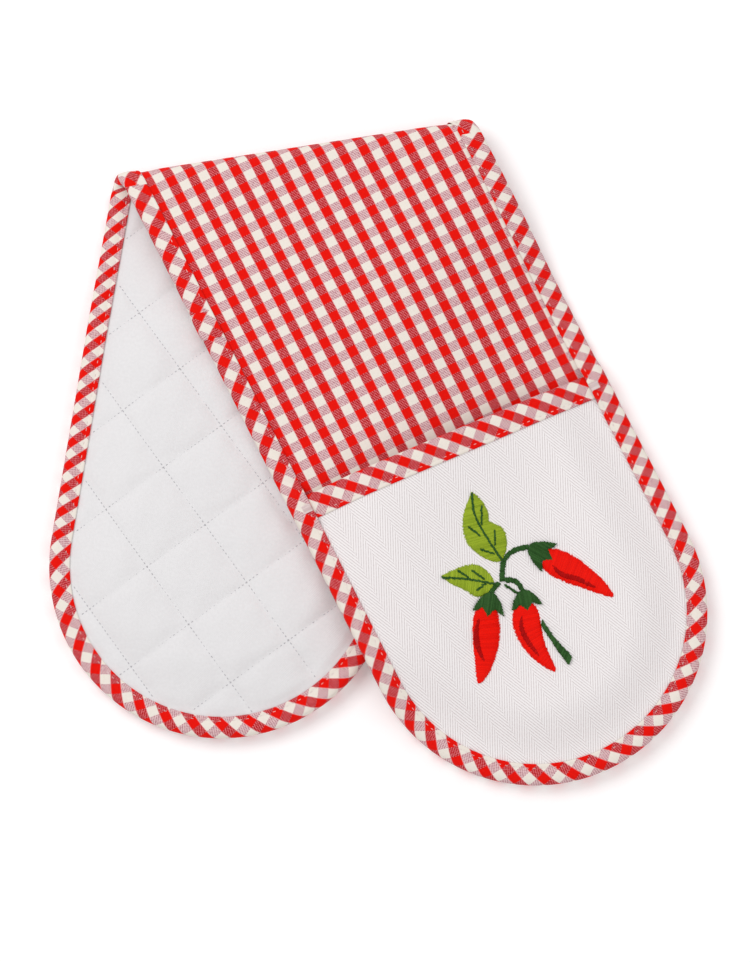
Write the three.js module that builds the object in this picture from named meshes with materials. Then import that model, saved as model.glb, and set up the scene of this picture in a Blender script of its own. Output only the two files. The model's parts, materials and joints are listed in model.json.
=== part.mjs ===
// Double oven glove: one long padded strip with round ends, folded back on itself at a slant, with a
// hand pocket sewn to the outer side of each end. Millimetres, +Z up, lying on the plane z = 0.
//
// Each half is drawn in its own strip coordinates and then wrapped round the fold:
//   along   distance from the crest of the fold towards the round end
//   across  distance from the strip's middle line
//   depth   distance inwards from the strip's edge
//   height  distance outwards from the gingham side of the strip
import * as THREE from "three";
import { mergeVertices } from "three/addons/utils/BufferGeometryUtils.js";

// Strip
const STRIP_WIDTH = 180;
const UPPER_LENGTH = 370;
const LOWER_LENGTH = 318;
const FACE_CLOTH = 0.8;
const WADDING = 3.0;
const LINING_CLOTH = 0.8;
const PLY_GAP = 0.3;

// Fold
const FOLD_SLANT = THREE.MathUtils.degToRad(18);
const FOLD_RADIUS = 9;
const CREST_GAP = 0.6;

// Pockets
const POCKET_DEPTH = 192;
const POCKET_CLOTH = 0.8;
const POCKET_WADDING = 1.2;
const POCKET_LINING = 0.5;
const UPPER_HAND_SPACE = 10.5;
const LOWER_HAND_SPACE = 6.6;
const RIM_SPACE = 1.9;
const RIM_SLOPE = 30;
const UPPER_MOUTH_SKEW = 0.055;
const LOWER_MOUTH_SKEW = 0;
const SEAM_ALLOWANCE = 4.1;
const POCKET_CLEARANCE = 1.0;

// Bindings and stitching
const BINDING_CLOTH = 1.0;
const BINDING_CLEARANCE = 0.6;
const EDGE_BINDING_WIDTH = 11;
const MOUTH_BINDING_WIDTH = 13.2;
const BINDING_JOIN_ALONG = 66;
const BINDING_JOIN_LENGTH = 12;
const TACK_LENGTH = 7.5;
const TACK_WIDTH = 4;
const TACK_THICKNESS = 0.8;
const EMBROIDERY_DROP = 7.5;
const EMBROIDERY_THICKNESS = 0.8;
const EMBROIDERY_CLEARANCE = 1.5;
const STEM_WIDTH = 2.6;

// How the cloth drapes on the table
const LIFT_START = 14;
const LIFT_LENGTH = 90;
const DRAPE_INSIDE = 30;
const DRAPE_OUTSIDE = 75;
const POCKET_RISE_LENGTH = 75;
const END_DRAPE_LENGTH = 70;
const RESTING_GAP = 2.4;

// Mesh steps
const FOLD_STEPS = 3;
const ROW_SPACING = 24;
const END_SPACING = 20;
const FIRST_RING = 30;
const RING_SPACING = 28;

// Sizes that follow from the ones above
const HALF_WIDTH = STRIP_WIDTH / 2;
const STRIP_THICKNESS = FACE_CLOTH + WADDING + LINING_CLOTH + 2 * PLY_GAP;
const POCKET_THICKNESS = POCKET_CLOTH + POCKET_WADDING + POCKET_LINING + 2 * PLY_GAP;
const BINDING_BUILD = BINDING_CLEARANCE + BINDING_CLOTH;
const STRIP_INSET = BINDING_BUILD;
const POCKET_INSET = EDGE_BINDING_WIDTH + POCKET_CLEARANCE;
const SEAM_TOP = BINDING_CLEARANCE + SEAM_ALLOWANCE;
const RIM_BUILD = SEAM_TOP + BINDING_BUILD;
const FOLD_ARC = (FOLD_RADIUS * Math.PI) / 2;
const FOLD_HEIGHT = FOLD_RADIUS + BINDING_BUILD;
const END_STEPS = Math.ceil((Math.PI * HALF_WIDTH) / END_SPACING);
const RING_COUNT = Math.ceil((HALF_WIDTH - FIRST_RING) / RING_SPACING);
const RING_STEP = (HALF_WIDTH - FIRST_RING) / RING_COUNT;
const RING_DEPTHS = Array.from({ length: RING_COUNT }, (_, ring) => FIRST_RING + ring * RING_STEP);
const SLANT_COS = Math.cos(FOLD_SLANT);
const SLANT_SIN = Math.sin(FOLD_SLANT);

// The two halves share every rule and differ only in these values.
const UPPER = makeHalf(UPPER_LENGTH, UPPER_MOUTH_SKEW, UPPER_HAND_SPACE, upperDrop);
const LOWER = makeHalf(LOWER_LENGTH, LOWER_MOUTH_SKEW, LOWER_HAND_SPACE, lowerDrop);

const GINGHAM = material(0xd9463f, 0.9);
const BIAS_GINGHAM = material(0xd4504a, 0.9);
const LINING_WHITE = material(0xf1eff0, 0.95);
const WADDING_WHITE = material(0xf6f5f2, 1.0);
const TWILL_WHITE = material(0xe9e2e3, 0.9);
const CHILI_RED = material(0xf01c05, 0.6);
const LEAF_GREEN = material(0x9bb022, 0.6);
const STEM_GREEN = material(0x2a5a22, 0.6);
const TACK_WHITE = material(0xf4f2f0, 0.7);

function material(colour, roughness) {
  return new THREE.MeshStandardMaterial({ color: colour, roughness, metalness: 0 });
}

function smoothStep(value) {
  const t = THREE.MathUtils.clamp(value, 0, 1);
  return t * t * (3 - 2 * t);
}

// ---- The strip's surface ----

// One half: its sizes, and the rows of mesh lines that every piece of it shares, so that neighbouring
// plies bend alike. Each row gives the distance along the strip for a distance across it.
function makeHalf(length, mouthSkew, handSpace, drop) {
  const endCentre = length - HALF_WIDTH;
  const mouth = (across) => length - POCKET_DEPTH + across * mouthSkew;
  const foldLine = (arc) => (across) => (arc + across * SLANT_SIN) / SLANT_COS;
  const between = (first, second, share) => (across) =>
    THREE.MathUtils.lerp(first(across), second(across), share);
  const bindingEdge = (across) => mouth(across) + MOUTH_BINDING_WIDTH + PLY_GAP;
  const panelSteps = Math.ceil((length - POCKET_DEPTH) / ROW_SPACING);
  const pocketSteps = Math.ceil((POCKET_DEPTH - HALF_WIDTH) / ROW_SPACING);
  const rows = [];
  for (let step = 0; step <= FOLD_STEPS; step += 1) {
    rows.push(foldLine(THREE.MathUtils.lerp(CREST_GAP, FOLD_ARC, step / FOLD_STEPS)));
  }
  for (let step = 1; step <= panelSteps; step += 1) {
    rows.push(between(foldLine(FOLD_ARC), mouth, step / panelSteps));
  }
  const mouthRow = rows.length - 1;
  rows.push((across) => mouth(across) + BINDING_BUILD);
  rows.push(bindingEdge);
  for (let step = 1; step <= pocketSteps; step += 1) {
    rows.push(between(bindingEdge, () => endCentre, step / pocketSteps));
  }
  return { length, endCentre, mouth, handSpace, drop, rows, mouthRow };
}

// Clear height between the strip and its pocket: low at the sewn rim, full where the hand goes.
function handSpaceAt(half, depth) {
  return THREE.MathUtils.lerp(RIM_SPACE, half.handSpace, smoothStep((depth - POCKET_INSET) / RIM_SLOPE));
}

// The lower pocket lies flat on the table, so the strip above it rises by the pocket and the hand space.
function lowerDrop(along, across, depth) {
  const rise = smoothStep((along - LOWER.mouth(across) + POCKET_RISE_LENGTH) / POCKET_RISE_LENGTH);
  return rise * (POCKET_THICKNESS + handSpaceAt(LOWER, depth));
}

// The upper half rests on the lower one, and beside it falls to the table.
function upperDrop(along, across) {
  const fromCrest = along * SLANT_COS - across * SLANT_SIN;
  const sideways = along * SLANT_SIN + across * SLANT_COS;
  const lowerEdge = HALF_WIDTH * SLANT_COS - (fromCrest - HALF_WIDTH * SLANT_SIN) * Math.tan(FOLD_SLANT);
  const outside = (sideways - lowerEdge) * SLANT_COS;
  const onTable = FOLD_HEIGHT + FOLD_RADIUS - STRIP_THICKNESS - BINDING_BUILD;
  const lowerTop = BINDING_BUILD + POCKET_THICKNESS + LOWER_HAND_SPACE + STRIP_THICKNESS;
  const onLower = onTable - lowerTop - RESTING_GAP;
  const pastLowerEnd = smoothStep((fromCrest - LOWER_LENGTH + END_DRAPE_LENGTH * 0.7) / END_DRAPE_LENGTH);
  const overLower = 1 - smoothStep((outside + DRAPE_INSIDE) / (DRAPE_INSIDE + DRAPE_OUTSIDE));
  const pastFold = smoothStep((fromCrest - LIFT_START) / LIFT_LENGTH);
  return pastFold * THREE.MathUtils.lerp(onTable, onLower, overLower * (1 - pastLowerEnd));
}

function depthAt(half, along, across) {
  if (along < half.endCentre) return HALF_WIDTH - Math.abs(across);
  return HALF_WIDTH - Math.hypot(along - half.endCentre, across);
}

// Wraps a point of the flat strip round the fold. The lower half is this shape turned half a turn about Y.
function wrap(half, along, across, height) {
  const fromCrest = along * SLANT_COS - across * SLANT_SIN;
  const sideways = along * SLANT_SIN + across * SLANT_COS;
  if (fromCrest < FOLD_ARC) {
    const turn = fromCrest / FOLD_RADIUS;
    const radius = FOLD_RADIUS + height;
    return new THREE.Vector3(sideways, radius * Math.cos(turn), radius * Math.sin(turn));
  }
  const drop = half.drop(along, across, depthAt(half, along, across));
  return new THREE.Vector3(sideways, FOLD_ARC - fromCrest, FOLD_RADIUS + height - drop);
}

// The mesh lines that run inwards from the edge: up one side, round the end and down the other.
// Each gives a flat point for a depth, and the row where it meets the middle line.
function edgeStations(half, firstRow) {
  const lastRow = half.rows.length - 1;
  const stations = [];
  const sideStation = (row, side) => ({
    row,
    place: (depth) => {
      const across = side * (HALF_WIDTH - depth);
      return { along: half.rows[row](across), across };
    },
  });
  for (let row = firstRow; row <= lastRow; row += 1) stations.push(sideStation(row, -1));
  for (let step = 1; step < END_STEPS; step += 1) {
    const angle = Math.PI * (step / END_STEPS - 0.5);
    stations.push({
      row: lastRow,
      place: (depth) => ({
        along: half.endCentre + (HALF_WIDTH - depth) * Math.cos(angle),
        across: (HALF_WIDTH - depth) * Math.sin(angle),
      }),
    });
  }
  for (let row = lastRow; row >= firstRow; row -= 1) stations.push(sideStation(row, 1));
  return stations;
}

// ---- Solids ----

// Turns every face outwards, so that the enclosed volume is positive.
function facingOut(geometry) {
  geometry.deleteAttribute("normal");
  geometry.deleteAttribute("uv");
  const merged = mergeVertices(geometry, 1e-5);
  const corners = [new THREE.Vector3(), new THREE.Vector3(), new THREE.Vector3()];
  const index = merged.index.array;
  let volume = 0;
  for (let face = 0; face < index.length; face += 3) {
    corners.forEach((corner, k) => corner.fromBufferAttribute(merged.attributes.position, index[face + k]));
    volume += corners[0].dot(corners[1].clone().cross(corners[2]));
  }
  if (volume < 0) index.reverse();
  merged.computeVertexNormals();
  return merged;
}

// A padded or plain cloth layer with a round end, between two heights above the gingham side.
function plySolid(half, { inset, firstRow, low, high }) {
  const depths = [inset, POCKET_INSET, ...RING_DEPTHS];
  const rings = depths.filter((depth, k) => k === 0 || depth > inset);
  const stations = edgeStations(half, firstRow);
  const layerSize = rings.length * stations.length + half.rows.length - firstRow;
  const positions = [];
  for (const heightAt of [low, high]) {
    for (const depth of rings) {
      for (const station of stations) {
        const { along, across } = station.place(depth);
        positions.push(...wrap(half, along, across, heightAt(depth)).toArray());
      }
    }
    for (let row = firstRow; row < half.rows.length; row += 1) {
      positions.push(...wrap(half, half.rows[row](0), 0, heightAt(HALF_WIDTH)).toArray());
    }
  }
  const vertex = (layer, ring, k) => {
    const inLayer = ring < rings.length ? ring * stations.length + k
      : rings.length * stations.length + stations[k].row - firstRow;
    return layer * layerSize + inLayer;
  };
  const index = [];
  const quad = (a, b, c, d) => {
    for (const [p, q, r] of [[a, b, c], [a, c, d]]) {
      if (p !== q && q !== r && r !== p) index.push(p, q, r);
    }
  };
  const last = stations.length - 1;
  for (let ring = 0; ring < rings.length; ring += 1) {
    for (let k = 0; k < last; k += 1) {
      quad(vertex(1, ring, k), vertex(1, ring, k + 1), vertex(1, ring + 1, k + 1), vertex(1, ring + 1, k));
      quad(vertex(0, ring, k), vertex(0, ring + 1, k), vertex(0, ring + 1, k + 1), vertex(0, ring, k + 1));
    }
    quad(vertex(1, ring, 0), vertex(1, ring + 1, 0), vertex(0, ring + 1, 0), vertex(0, ring, 0));
    quad(vertex(1, ring, last), vertex(0, ring, last), vertex(0, ring + 1, last), vertex(1, ring + 1, last));
  }
  for (let k = 0; k < last; k += 1) {
    quad(vertex(1, 0, k), vertex(0, 0, k), vertex(0, 0, k + 1), vertex(1, 0, k + 1));
  }
  const geometry = new THREE.BufferGeometry();
  geometry.setAttribute("position", new THREE.Float32BufferAttribute(positions, 3));
  geometry.setIndex(index);
  return facingOut(geometry);
}

// A flat section swept through a number of steps, each point then laid in place by the given rule.
function sweptSolid(section, steps, lay) {
  const geometry = new THREE.ExtrudeGeometry(section, { depth: steps, steps, bevelEnabled: false });
  return laidSolid(geometry, lay);
}

function laidSolid(geometry, lay) {
  const position = geometry.attributes.position;
  for (let k = 0; k < position.count; k += 1) {
    const point = lay(position.getX(k), position.getY(k), position.getZ(k));
    position.setXYZ(k, point.x, point.y, point.z);
  }
  return facingOut(geometry);
}

// Folded tape seen end on: a back wall and two legs that hold what lies between low and high.
function tapeSection(width, low, high) {
  return new THREE.Shape([
    new THREE.Vector2(0, low - BINDING_BUILD),
    new THREE.Vector2(width, low - BINDING_BUILD),
    new THREE.Vector2(width, low - BINDING_CLEARANCE),
    new THREE.Vector2(BINDING_CLOTH, low - BINDING_CLEARANCE),
    new THREE.Vector2(BINDING_CLOTH, high + BINDING_CLEARANCE),
    new THREE.Vector2(width, high + BINDING_CLEARANCE),
    new THREE.Vector2(width, high + BINDING_BUILD),
    new THREE.Vector2(0, high + BINDING_BUILD),
  ]);
}

function boxSection(left, right, low, high) {
  return new THREE.Shape([
    new THREE.Vector2(left, low),
    new THREE.Vector2(right, low),
    new THREE.Vector2(right, high),
    new THREE.Vector2(left, high),
  ]);
}

// ---- Strip pieces ----

function stripPly(half, top, thickness) {
  const high = () => top;
  const low = () => top - thickness;
  return plySolid(half, { inset: STRIP_INSET, firstRow: 0, low, high });
}

// Tape round the strip's edge, which also takes in the pocket's seam from the mouth to the round end.
function edgeBinding(half) {
  const stations = edgeStations(half, 0);
  const section = tapeSection(EDGE_BINDING_WIDTH, -STRIP_THICKNESS, 0);
  return sweptSolid(section, stations.length - 1, (depth, height, step) => {
    const station = stations[Math.round(step)];
    const overSeam = height > 0 && station.row >= half.mouthRow ? SEAM_TOP : 0;
    const { along, across } = station.place(depth);
    return wrap(half, along, across, height + overSeam);
  });
}

// Where the tape's two ends overlap on the upper half's left edge.
function bindingJoin() {
  const section = boxSection(BINDING_CLOTH, EDGE_BINDING_WIDTH - BINDING_CLOTH, 0, BINDING_CLOTH / 2);
  return sweptSolid(section, 1, (depth, height, step) => {
    const along = BINDING_JOIN_ALONG + (step - 0.5) * BINDING_JOIN_LENGTH;
    return wrap(UPPER, along, depth - HALF_WIDTH, BINDING_BUILD + PLY_GAP + height);
  });
}

// ---- Pocket pieces ----

function pocketPly(half, bottom, thickness) {
  const low = (depth) => handSpaceAt(half, depth) + bottom;
  const high = (depth) => low(depth) + thickness;
  return plySolid(half, { inset: POCKET_INSET, firstRow: half.mouthRow + 1, low, high });
}

// The pocket's seam allowance, held under the edge binding.
function pocketSeam(half) {
  const stations = edgeStations(half, half.mouthRow);
  const section = boxSection(STRIP_INSET, EDGE_BINDING_WIDTH, BINDING_CLEARANCE, SEAM_TOP);
  return sweptSolid(section, stations.length - 1, (depth, height, step) => {
    const { along, across } = stations[Math.round(step)].place(depth);
    return wrap(half, along, across, height);
  });
}

// Tape over the pocket's mouth.
function mouthBinding(half) {
  const depths = [POCKET_INSET, ...RING_DEPTHS];
  const left = depths.map((depth) => depth - HALF_WIDTH);
  const right = depths.map((depth) => HALF_WIDTH - depth).reverse();
  const columns = [...left, 0, ...right];
  const section = tapeSection(MOUTH_BINDING_WIDTH, 0, POCKET_THICKNESS);
  return sweptSolid(section, columns.length - 1, (inwards, height, step) => {
    const across = columns[Math.round(step)];
    const along = half.mouth(across) + inwards;
    return wrap(half, along, across, handSpaceAt(half, HALF_WIDTH - Math.abs(across)) + height);
  });
}

// A bar of close stitches at a corner of the upper pocket's mouth.
function barTack(side) {
  const firstDepth = EDGE_BINDING_WIDTH - TACK_LENGTH;
  const section = boxSection(firstDepth, EDGE_BINDING_WIDTH, 0, TACK_THICKNESS);
  return sweptSolid(section, 1, (depth, height, step) => {
    const across = side * (HALF_WIDTH - depth);
    const along = UPPER.mouth(across) + BINDING_CLOTH + step * TACK_WIDTH;
    return wrap(UPPER, along, across, RIM_BUILD + PLY_GAP + height);
  });
}

// ---- Embroidery on the upper pocket, in distances right of the middle line and down from the mouth ----

function embroidered(outline) {
  const shape = new THREE.Shape(outline);
  const settings = { depth: EMBROIDERY_THICKNESS, bevelEnabled: false };
  const base = POCKET_THICKNESS + EMBROIDERY_CLEARANCE;
  return laidSolid(new THREE.ExtrudeGeometry(shape, settings), (right, down, height) => {
    const along = UPPER.mouth(0) + EMBROIDERY_DROP + down;
    const clear = handSpaceAt(UPPER, depthAt(UPPER, along, right));
    return wrap(UPPER, along, right, clear + base + height);
  });
}

function outlineThrough(points, count) {
  const vectors = points.map(([right, down]) => new THREE.Vector2(right, down));
  const loop = new THREE.SplineCurve([...vectors, vectors[0]]);
  return loop.getPoints(count).slice(0, -1);
}

// A ribbon of even or tapering width on both sides of a line.
function ribbonOutline(line, halfWidthAt, steps) {
  const left = [];
  const right = [];
  for (let step = 0; step <= steps; step += 1) {
    const share = step / steps;
    const centre = line.getPoint(share);
    const tangent = line.getTangent(share);
    const offset = new THREE.Vector2(-tangent.y, tangent.x).multiplyScalar(halfWidthAt(share));
    left.push(centre.clone().add(offset));
    right.unshift(centre.clone().sub(offset));
  }
  return [...left, ...right];
}

function chili(head, bend, tip) {
  const line = new THREE.QuadraticBezierCurve(
    new THREE.Vector2(...head), new THREE.Vector2(...bend), new THREE.Vector2(...tip));
  const halfWidthAt = (share) => 1.2 + 5.6 * Math.sqrt(Math.sin(Math.PI * (0.14 + 0.86 * share)));
  return embroidered(ribbonOutline(line, (share) => halfWidthAt(share) * (1 - 0.35 * share), 8));
}

// The green cap of a chili: two side teeth and a middle tooth over the fruit's head.
function calyx(root, tooth, span) {
  const start = new THREE.Vector2(...root);
  const forward = new THREE.Vector2(...tooth).sub(start);
  const sideways = new THREE.Vector2(-forward.y, forward.x).normalize();
  const at = (share, offset) => start.clone().addScaledVector(forward, share).addScaledVector(sideways, offset);
  return embroidered([
    at(0.05, 0.8), at(0.84, span), at(0.66, 0.45 * span), at(1, 0),
    at(0.66, -0.45 * span), at(0.84, -span), at(0.05, -0.8),
  ]);
}

function stem(points) {
  const line = new THREE.SplineCurve(points.map(([right, down]) => new THREE.Vector2(right, down)));
  return embroidered(ribbonOutline(line, () => STEM_WIDTH / 2, points.length * 2));
}

const UPPER_LEAF = [[-2, 25.5], [-10, 32], [-16, 46], [-12, 58], [-4.7, 63], [2, 58], [4, 50], [-0.5, 42.5],
  [1.2, 34]];
const SIDE_LEAF = [[-36, 56.5], [-27, 56.7], [-18.5, 58.4], [-13.5, 65], [-15, 72.5], [-21, 75], [-28, 69]];

// ---- Assembly ----

const glove = new THREE.Group();
const upperHalf = new THREE.Group();
const lowerHalf = new THREE.Group();
upperHalf.position.z = FOLD_HEIGHT;
lowerHalf.position.z = FOLD_HEIGHT;
lowerHalf.rotation.y = Math.PI;
glove.add(upperHalf, lowerHalf);

function add(group, name, geometry, finish) {
  const mesh = new THREE.Mesh(geometry, finish.clone());
  mesh.name = name;
  group.add(mesh);
}

for (const [group, half, name] of [[upperHalf, UPPER, "upper"], [lowerHalf, LOWER, "lower"]]) {
  const waddingTop = -FACE_CLOTH - PLY_GAP;
  const liningTop = waddingTop - WADDING - PLY_GAP;
  add(group, `${name}_outer_panel`, stripPly(half, 0, FACE_CLOTH), GINGHAM);
  add(group, `${name}_wadding`, stripPly(half, waddingTop, WADDING), WADDING_WHITE);
  add(group, `${name}_quilted_lining`, stripPly(half, liningTop, LINING_CLOTH), LINING_WHITE);
  add(group, `${name}_edge_binding`, edgeBinding(half), BIAS_GINGHAM);
  const pocketWaddingBottom = POCKET_LINING + PLY_GAP;
  const pocketFaceBottom = pocketWaddingBottom + POCKET_WADDING + PLY_GAP;
  add(group, `${name}_pocket_face`, pocketPly(half, pocketFaceBottom, POCKET_CLOTH), TWILL_WHITE);
  add(group, `${name}_pocket_wadding`, pocketPly(half, pocketWaddingBottom, POCKET_WADDING), WADDING_WHITE);
  add(group, `${name}_pocket_lining`, pocketPly(half, 0, POCKET_LINING), LINING_WHITE);
  add(group, `${name}_pocket_seam`, pocketSeam(half), TWILL_WHITE);
  add(group, `${name}_mouth_binding`, mouthBinding(half), BIAS_GINGHAM);
}

add(upperHalf, "binding_join", bindingJoin(), BIAS_GINGHAM);
add(upperHalf, "bar_tack_left", barTack(-1), TACK_WHITE);
add(upperHalf, "bar_tack_right", barTack(1), TACK_WHITE);

add(upperHalf, "leaf_upper", embroidered(outlineThrough(UPPER_LEAF, 27)), LEAF_GREEN);
add(upperHalf, "leaf_side", embroidered(outlineThrough(SIDE_LEAF, 21)), LEAF_GREEN);
add(upperHalf, "chili_left", chili([-25, 88], [-31.5, 103], [-42.5, 112]), CHILI_RED);
add(upperHalf, "chili_middle", chili([-5, 94.5], [-12, 107], [-5.5, 124]), CHILI_RED);
add(upperHalf, "chili_right", chili([21.5, 77.5], [30, 87], [38, 103]), CHILI_RED);
add(upperHalf, "calyx_left", calyx([-17.5, 76.6], [-23, 84.6], 7.4), STEM_GREEN);
add(upperHalf, "calyx_middle", calyx([-1.3, 84], [-3.6, 92], 8.6), STEM_GREEN);
add(upperHalf, "calyx_right", calyx([13, 65], [18.2, 73], 8.6), STEM_GREEN);
add(upperHalf, "stem_right", stem([[-8.2, 71], [-3.5, 64.6], [3.7, 61.8], [10.4, 63]]), STEM_GREEN);
add(upperHalf, "stem_middle", stem([[-8, 73.4], [-4.5, 74.8], [-2, 78], [-1.6, 82]]), STEM_GREEN);
add(upperHalf, "stem_left", stem([[-10.6, 73.2], [-13.5, 74.4], [-15.8, 75.2]]), STEM_GREEN);
add(upperHalf, "stem_main", stem([[2.2, 106.5], [3.1, 112], [4.4, 125]]), STEM_GREEN);

// The origin is under the middle of the glove, on the table.
glove.updateMatrixWorld(true);
const box = new THREE.Box3().setFromObject(glove, true);
glove.position.set(-(box.min.x + box.max.x) / 2, -(box.min.y + box.max.y) / 2, -box.min.z);
glove.updateMatrixWorld(true);

export default glove;
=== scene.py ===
"""A double oven glove, folded over itself: gingham outside, quilted lining inside, pockets at both ends.

The whole glove is worked out on its flat strip. A point of the strip is (along, across, height): along runs
from the crest of the fold, forward over the upper half and backward over the lower one; across runs from the
strip's middle line; height is measured outward from the gingham side. GloveShape lays such a point in the row
frame.
"""

import json
import logging
import math
from dataclasses import dataclass
from enum import Enum
from functools import partial
from typing import Callable, Dict, List, Optional, Sequence, Tuple

import bpy
import numpy as np
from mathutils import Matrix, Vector


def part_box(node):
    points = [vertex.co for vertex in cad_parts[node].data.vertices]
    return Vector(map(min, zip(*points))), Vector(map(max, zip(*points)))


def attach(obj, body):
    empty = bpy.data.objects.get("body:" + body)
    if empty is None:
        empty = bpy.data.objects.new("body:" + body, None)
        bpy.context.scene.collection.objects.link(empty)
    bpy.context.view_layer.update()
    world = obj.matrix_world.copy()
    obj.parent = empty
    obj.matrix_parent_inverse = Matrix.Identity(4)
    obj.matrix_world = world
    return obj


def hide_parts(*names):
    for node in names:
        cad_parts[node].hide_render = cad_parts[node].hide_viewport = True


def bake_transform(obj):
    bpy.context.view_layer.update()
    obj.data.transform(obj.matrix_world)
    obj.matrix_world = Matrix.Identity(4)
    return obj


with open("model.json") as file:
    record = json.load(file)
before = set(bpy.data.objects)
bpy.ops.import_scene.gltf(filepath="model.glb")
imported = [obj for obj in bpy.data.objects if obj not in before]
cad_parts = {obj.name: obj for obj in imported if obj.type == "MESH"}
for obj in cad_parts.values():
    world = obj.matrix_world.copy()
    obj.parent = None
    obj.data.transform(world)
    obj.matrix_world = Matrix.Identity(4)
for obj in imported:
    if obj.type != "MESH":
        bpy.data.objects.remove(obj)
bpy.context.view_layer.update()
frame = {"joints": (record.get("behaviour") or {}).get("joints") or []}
LOG = logging.getLogger("glove")

Array = np.ndarray
Object = bpy.types.Object
Tree = bpy.types.NodeTree
Socket = bpy.types.NodeSocket
Height = Callable[[Array, Array], Array]
Point = Tuple[float, float]
SectionPoint = Tuple[float, float, float]

MM = 0.001
TINY = 1e-15


class Side(Enum):
    """The two halves of the strip; the value is the sign of the strip's along coordinate."""

    UPPER = 1
    LOWER = -1


def smooth(value: Array) -> Array:
    """Eases a value from 0 to 1.

    Args:
        value: any numbers; below 0 counts as 0 and above 1 as 1.

    Returns:
        The eased numbers.
    """
    t = np.clip(value, 0.0, 1.0)
    return t * t * (3.0 - 2.0 * t)


def lerp(a: Array, b: Array, t: Array) -> Array:
    """Mixes two numbers.

    Args:
        a: the value at t 0.
        b: the value at t 1.
        t: the share of b.

    Returns:
        The mixed value.
    """
    return a + (b - a) * t


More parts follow.
